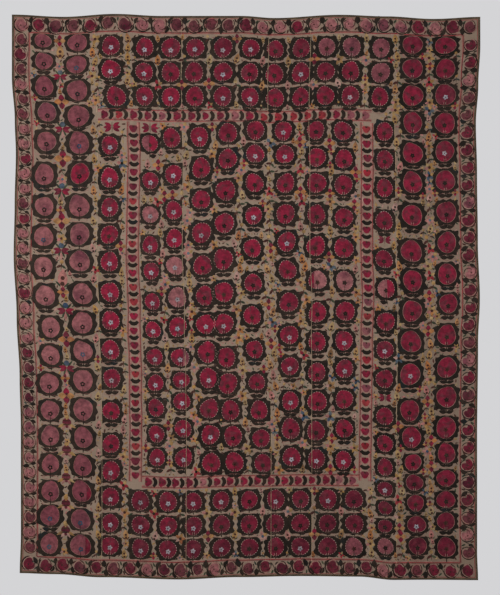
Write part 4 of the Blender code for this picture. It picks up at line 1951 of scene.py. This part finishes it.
@dataclass
class Fillers(Stitcher):
    """Small flowers, buds and sprigs in the gaps between the rosettes."""

    gaps: Gaps
    unit: float = 20 * MM
    stream: ClassVar[int] = 4

    def stitch(self) -> None:
        """Works the motifs that have their own place, and then fills every gap."""
        self.paired_petals(np.array([[0.434, 0.499], [0.604, 0.497]]), 1.08)
        self.paired_petals(np.array([[1.646, 0.989], [1.645, 1.688]]), 0.85)
        self.left_gap()
        self.tall_buds()
        places, reach = self.gaps.fill(4.6 * MM, 19 * MM)
        size = 1.36 * reach / self.unit
        draw = self.tones(len(places))
        roomy = reach > 11 * MM
        for low, high, make in ((0.0, 0.36, self.flowers), (0.36, 0.72, self.buds),
                                (0.72, 0.92, self.sprigs), (0.92, 1.0, self.quatrefoils)):
            some = roomy & (draw >= low) & (draw < high)
            make(places[some], size[some])
        small = places[~roomy]
        for low, high, thread in ((0.0, 0.3, Thread.OCHRE), (0.3, 0.6, Thread.BROWN),
                                  (0.6, 0.75, Thread.DUSTY), (0.75, 1.0, Thread.GREEN)):
            some = (draw[~roomy] >= low) & (draw[~roomy] < high)
            turn = self.generator.uniform(0, math.tau, some.sum())
            self.petals("filler_leaves", thread, small[some], turn, 16, 8, size[~roomy][some] * 1.8, -8)
        LOG.info("%d motifs in the gaps", len(places))

    def tall_buds(self) -> None:
        """A tall bud below each rosette of the second column, by the first seam."""
        rows = np.array(LEFT_COLUMNS[1].rows)
        v = (rows[4:] + rows[3:-1]) / 2 + 6 * MM
        places = np.stack([np.full(len(v), 0.350), v], -1)
        self.buds(places, np.full(len(v), 1.25))
        for place in places:
            self.gaps.take(place, 24 * MM)

    def left_gap(self) -> None:
        """The large motifs between the two left columns, one between each two rows."""
        first, second = LEFT_COLUMNS
        rows = (np.array(first.rows) + np.array(second.rows)) / 2
        v = (rows[:-1] + rows[1:]) / 2
        row = np.arange(len(v))
        sides = [np.interp(row + 0.5, *np.array(column.across).T) for column in (first, second)]
        places = np.stack([sum(sides) / 2, v], -1)
        size = np.clip((v - rows[:-1]) / 0.062, 0.8, 1.08) * 1.75
        for place, reach in zip(places, size * 17 * MM):
            self.gaps.take(place, reach)
        cups = row >= 13
        bows = (row % 2 == 1) & ~cups
        tall = np.isin(row, (0, 8))
        rest = ~(bows | cups | tall)
        self.buds(places[tall], 1.25 * size[tall])
        self.bows(places[bows], 0.92 * size[bows])
        self.quatrefoils(places[rest], size[rest])
        self.cups(places[cups], 0.95 * size[cups])

    def petals(
        self, part: str, thread: Thread, places: Array, turn: float | Array, length: float,
        width: float, size: float | Array = 1.0, start: float = 0.0, bend: float = 0.0,
        height: float = 0.9,
    ) -> None:
        """One petal or leaf at each place.

        Args:
            part: The part of the work.
            thread: The thread.
            places: Where the motifs are.
            turn: Which way the petals point.
            length: Their length in millimetres, at size 1.
            width: Their width in millimetres.
            size: Size of each motif.
            start: How far out their roots are, in millimetres.
            bend: How far their tips turn aside, in millimetres.
            height: Height of their crowns, in millimetres, at any size.
        """
        turn = np.broadcast_to(np.asarray(turn, float), len(places))
        size = np.broadcast_to(np.asarray(size, float), len(places))
        root = places + polar(turn, start * MM * size)
        broad = width > 8.5
        outline = leaf_outline(length * MM, width * MM, bend * MM, count=5 if broad else 4)
        tone = self.tones(len(places))
        batch = leaves(outline, root, turn, size, height * MM, tone, ridged=not broad)
        self.work.add(part, thread, batch)

    def dots(
        self, thread: Thread, places: Array, radius: float, size: float | Array = 1.0,
        height: float = 1.4, base: float = 0.7,
    ) -> None:
        """Round dots.

        Args:
            thread: The thread.
            places: Where.
            radius: Half their width in millimetres, at size 1.
            size: Size of each motif.
            height: Their height in millimetres.
            base: What they start from, in millimetres.
        """
        size = np.broadcast_to(np.asarray(size, float), len(places))
        rim = polar(circle(9)[None], radius * MM * size[:, None]) + places[:, None]
        batch = dome(rim, places, height * MM, self.tones(len(places)), base=base * MM,
                     rings=(0.7, 1.0))
        self.work.add("filler_dots", thread, batch)

    def above(self, places: Array, millimetres: float, size: Array) -> Array:
        """Places moved up by so many millimetres at size 1."""
        return places - np.stack([0 * size, millimetres * MM * size], -1)

    def buds(self, places: Array, size: Array) -> None:
        """Drop-shaped buds with two brown eyes, between two leaves."""
        lean = self.generator.uniform(-0.35, 0.35, len(places)) - math.pi / 2
        draw = self.tones(len(places))
        for some, thread, leaf in (
            (draw < 0.4, Thread.OCHRE, Thread.GREEN),
            ((draw >= 0.4) & (draw < 0.75), Thread.ORANGE, Thread.BROWN),
            (draw >= 0.75, Thread.DUSTY, Thread.GREEN),
        ):
            here, way, large = places[some], lean[some], size[some]
            self.petals("filler_petals", thread, here, way, 38, 21, large, -17)
            self.dots(Thread.BROWN, here + polar(way, 3 * MM * large), 4.8, large)
            self.dots(Thread.BROWN, here - polar(way, 8 * MM * large), 5.2, large)
            foot = here - polar(way, 15 * MM * large)
            self.petals("filler_leaves", leaf, foot, way + 0.9, 17, 6.5, large)
            self.petals("filler_leaves", leaf, foot, way - 0.9, 17, 6.5, large)

    def flowers(self, places: Array, size: Array) -> None:
        """Five-petalled flowers with a dark heart."""
        draw = self.tones(len(places))
        start = self.tones(len(places))
        for low, high, thread, heart in (
            (0.0, 0.28, Thread.ORANGE, Thread.BROWN), (0.28, 0.52, Thread.OCHRE, Thread.BROWN),
            (0.52, 0.74, Thread.DUSTY, Thread.BLUE), (0.74, 0.88, Thread.VERMILION, Thread.DARK),
            (0.88, 1.0, Thread.BLUE, Thread.DARK),
        ):
            some = (draw >= low) & (draw < high)
            for petal, silk in enumerate((thread, thread, Thread.DUSTY, thread, Thread.OCHRE)):
                turn = start[some] + petal * math.tau / 5
                self.petals("filler_petals", silk, places[some], turn, 18, 13, size[some], 1.5)
            self.dots(heart, places[some], 6.0, size[some])
            for tilt in (0.5, math.pi - 0.5):
                self.petals("filler_leaves", Thread.GREEN, places[some], tilt, 13, 8, size[some], 13)

    def bows(self, places: Array, size: Array) -> None:
        """Red petals spread to both sides under pale ones with a blue heart, over green leaves."""
        for side, base in ((1, 0.0), (-1, math.pi)):
            self.petals("filler_petals", Thread.CRIMSON, places, base + 0.5 * side, 22, 12, size)
            self.petals("filler_petals", Thread.CRIMSON, places, base - 0.12 * side, 22, 11, size)
            self.petals("filler_petals", Thread.GREEN, places, base - 0.85 * side, 22, 7, size, 4)
            self.petals("filler_leaves", Thread.GREEN, places, base + 1.15 * side, 20, 8, size, 3)
        self.dots(Thread.BLUE, self.above(places, 12, size), 7.5, size, 1.2, 0.5)
        self.petals("filler_petals", Thread.DUSTY, places, math.pi / 2, 23, 9, size, 6)

    def quatrefoils(self, places: Array, size: Array) -> None:
        """Four petals, red up and down and orange to the sides, with two dark dots."""
        for petal in range(4):
            thread = Thread.ORANGE if petal % 2 == 0 else Thread.CRIMSON
            self.petals("filler_petals", thread, places, petal * math.pi / 2, 21, 18, size)
        for lean in (0.25, 0.75):
            self.petals("filler_leaves", Thread.DUSTY, places, math.pi * lean, 26, 2.4, size, -13,
                        height=1.4)
        self.dots(Thread.BROWN, self.above(places, 5, size), 3.4, size)
        self.dots(Thread.BROWN, self.above(places, -5, size), 3.4, size)

    def cups(self, places: Array, size: Array) -> None:
        """A red bud with brown stripes, between ochre leaves and over a pink foot."""
        for side, base in ((1, 0.0), (-1, math.pi)):
            self.petals("filler_petals", Thread.OCHRE, places, base + 0.45 * side, 22, 10, size, 6)
            self.petals("filler_petals", Thread.DUSTY, places, base + 0.95 * side, 18, 9, size, 5)
        self.petals("filler_petals", Thread.OCHRE, places, -math.pi / 2, 20, 14, size, 9)
        self.petals("filler_petals", Thread.PLUM, places, math.pi / 2, 30, 29, size, -16)
        for up in (7, -4):
            self.petals("filler_petals", Thread.BROWN, self.above(places, up, size), 0.0,
                        24, 8, size, -12, height=2.6)

    def sprigs(self, places: Array, size: Array) -> None:
        """A short brown stem with leaves to both sides and an ochre bud on top."""
        lean = self.generator.uniform(-0.5, 0.5, len(places)) + math.pi / 2
        self.petals("filler_leaves", Thread.BROWN, places, lean, 30, 4.5, size, -13)
        self.petals("filler_leaves", Thread.BROWN, places, lean + 1.0, 20, 10, size)
        self.petals("filler_leaves", Thread.GREEN, places, lean - 1.1, 19, 9, size)
        tips = places - polar(lean, 12 * MM * size)
        self.dots(Thread.OCHRE, tips, 7.5, size, 1.0, 0.0)

    def paired_petals(self, places: Array, size: float) -> None:
        """A bright red motif of wide petals each side of a stem.

        Args:
            places: Where.
            size: How large.
        """
        for side in (0, 1):
            for tilt in (-0.55, 0.0, 0.55):
                turn = side * math.pi + tilt
                self.petals("filler_petals", Thread.CRIMSON, places, turn, 32, 17, size, 4)
        self.petals("filler_leaves", Thread.BROWN, places, math.pi / 2, 44, 4, size, -22, height=1.2)
        for place in places:
            self.gaps.take(place, 36 * MM * size)


# The room


@dataclass(frozen=True)
class Studio:
    """Floor, lights and camera."""

    cloth: HungCloth
    metres_per_pixel: float = 0.0044
    frame_pixels: tuple[int, int] = (500, 595)
    cloth_corner: tuple[float, float] = (12.0, 14.0)
    distance: float = 9.0
    floor_drop: float = 0.22
    backdrop: Colour = (212, 212, 214)

    def camera(self) -> Piece:
        """A long lens, face on, whose frame is the photograph's."""
        wide, high = self.frame_pixels
        data = bpy.data.cameras.new("camera")
        data.sensor_width = 36.0
        data.lens = data.sensor_width * self.distance / (high * self.metres_per_pixel)
        camera = bpy.data.objects.new("camera", data)
        bpy.context.scene.collection.objects.link(camera)
        across = (wide / 2 - self.cloth_corner[0]) * self.metres_per_pixel - self.cloth.width / 2
        middle_drop = float(self.cloth.along_edge(self.cloth.top_drop, np.array(0.5)))
        down = middle_drop - (high / 2 - self.cloth_corner[1]) * self.metres_per_pixel
        camera.location = (across, -self.distance, down)
        camera.rotation_euler = (math.pi / 2, 0, 0)
        bpy.context.scene.camera = camera
        return camera

    def light(self, name: str, place: tuple, aim: tuple, size: float, power: float) -> None:
        """A large soft lamp.

        Args:
            name: The lamp's name.
            place: Where it stands.
            aim: What it points at.
            size: Its width.
            power: Its power in watts.
        """
        data = bpy.data.lights.new(name, "AREA")
        data.shape, data.size, data.energy = "SQUARE", size, power
        lamp = bpy.data.objects.new(name, data)
        bpy.context.scene.collection.objects.link(lamp)
        ahead = np.array(aim, float) - np.array(place, float)
        flat = math.hypot(ahead[0], ahead[1])
        lamp.location, lamp.visible_camera = place, False
        turn = math.atan2(ahead[1], ahead[0]) - math.pi / 2
        lamp.rotation_euler = (math.atan2(flat, -ahead[2]), 0, turn)

    def build(self) -> None:
        """Sets up the room."""
        world = bpy.data.worlds.new("studio")
        world.use_nodes = True
        sky = world.node_tree.nodes["Background"]
        sky.inputs["Color"].default_value = linear(self.backdrop)
        sky.inputs["Strength"].default_value = 1.0
        bpy.context.scene.world = world
        bpy.context.scene.view_settings.view_transform = "Standard"
        self.floor()
        middle = (0.0, 0.0, -self.cloth.height / 2)
        self.light("key_lamp", (-1.5, -2.0, -0.75), middle, 1.2, 20.5)
        self.light("fill_lamp", (1.1, -2.1, -0.8), middle, 1.4, 10.5)
        self.camera()

    def floor(self) -> None:
        """A plain pale floor below the hem, which the photograph's frame doesn't reach."""
        low = -self.cloth.height - self.floor_drop
        mesh = bpy.data.meshes.new("floor")
        corners = [(-2.6, -2.6, low), (2.6, -2.6, low), (2.6, 1.1, low), (-2.6, 1.1, low)]
        mesh.from_pydata(corners, [], [(0, 1, 2, 3)])
        floor = bpy.data.objects.new("floor", mesh)
        bpy.context.scene.collection.objects.link(floor)
        material = bpy.data.materials.new("floor_paint")
        material.use_nodes = True
        shader = material.node_tree.nodes["Principled BSDF"]
        shader.inputs["Base Color"].default_value = linear((214, 212, 208))
        shader.inputs["Roughness"].default_value = 0.8
        mesh.materials.append(material)


def main() -> None:
    """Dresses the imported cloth, piece by piece."""
    logging.basicConfig(level=logging.INFO, format="%(message)s")
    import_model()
    cloth = HungCloth()
    ground = Ground(cloth)
    columns = (*LEFT_COLUMNS, *MIDDLE_COLUMNS, *TOP_COLUMNS, *INNER_COLUMNS, *BOTTOM_COLUMNS,
               *RIGHT_COLUMNS)
    rosettes = Rosettes.laid_out(columns, ground.seams, cloth.width)
    LOG.info("%d rosettes and parts of rosettes", len(rosettes.seed))
    Studio(cloth).build()
    strips = ground.strips(rosettes)
    sewn = ground.seam_pieces() + ground.tape_pieces()
    work = Needlework(cloth)
    RosetteWork(work, rosettes).stitch()
    Borders(work).stitch()
    Fillers(work, Gaps(rosettes, cloth)).stitch()
    sewn += work.pieces()
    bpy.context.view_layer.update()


if __name__ == "__main__":
    main()
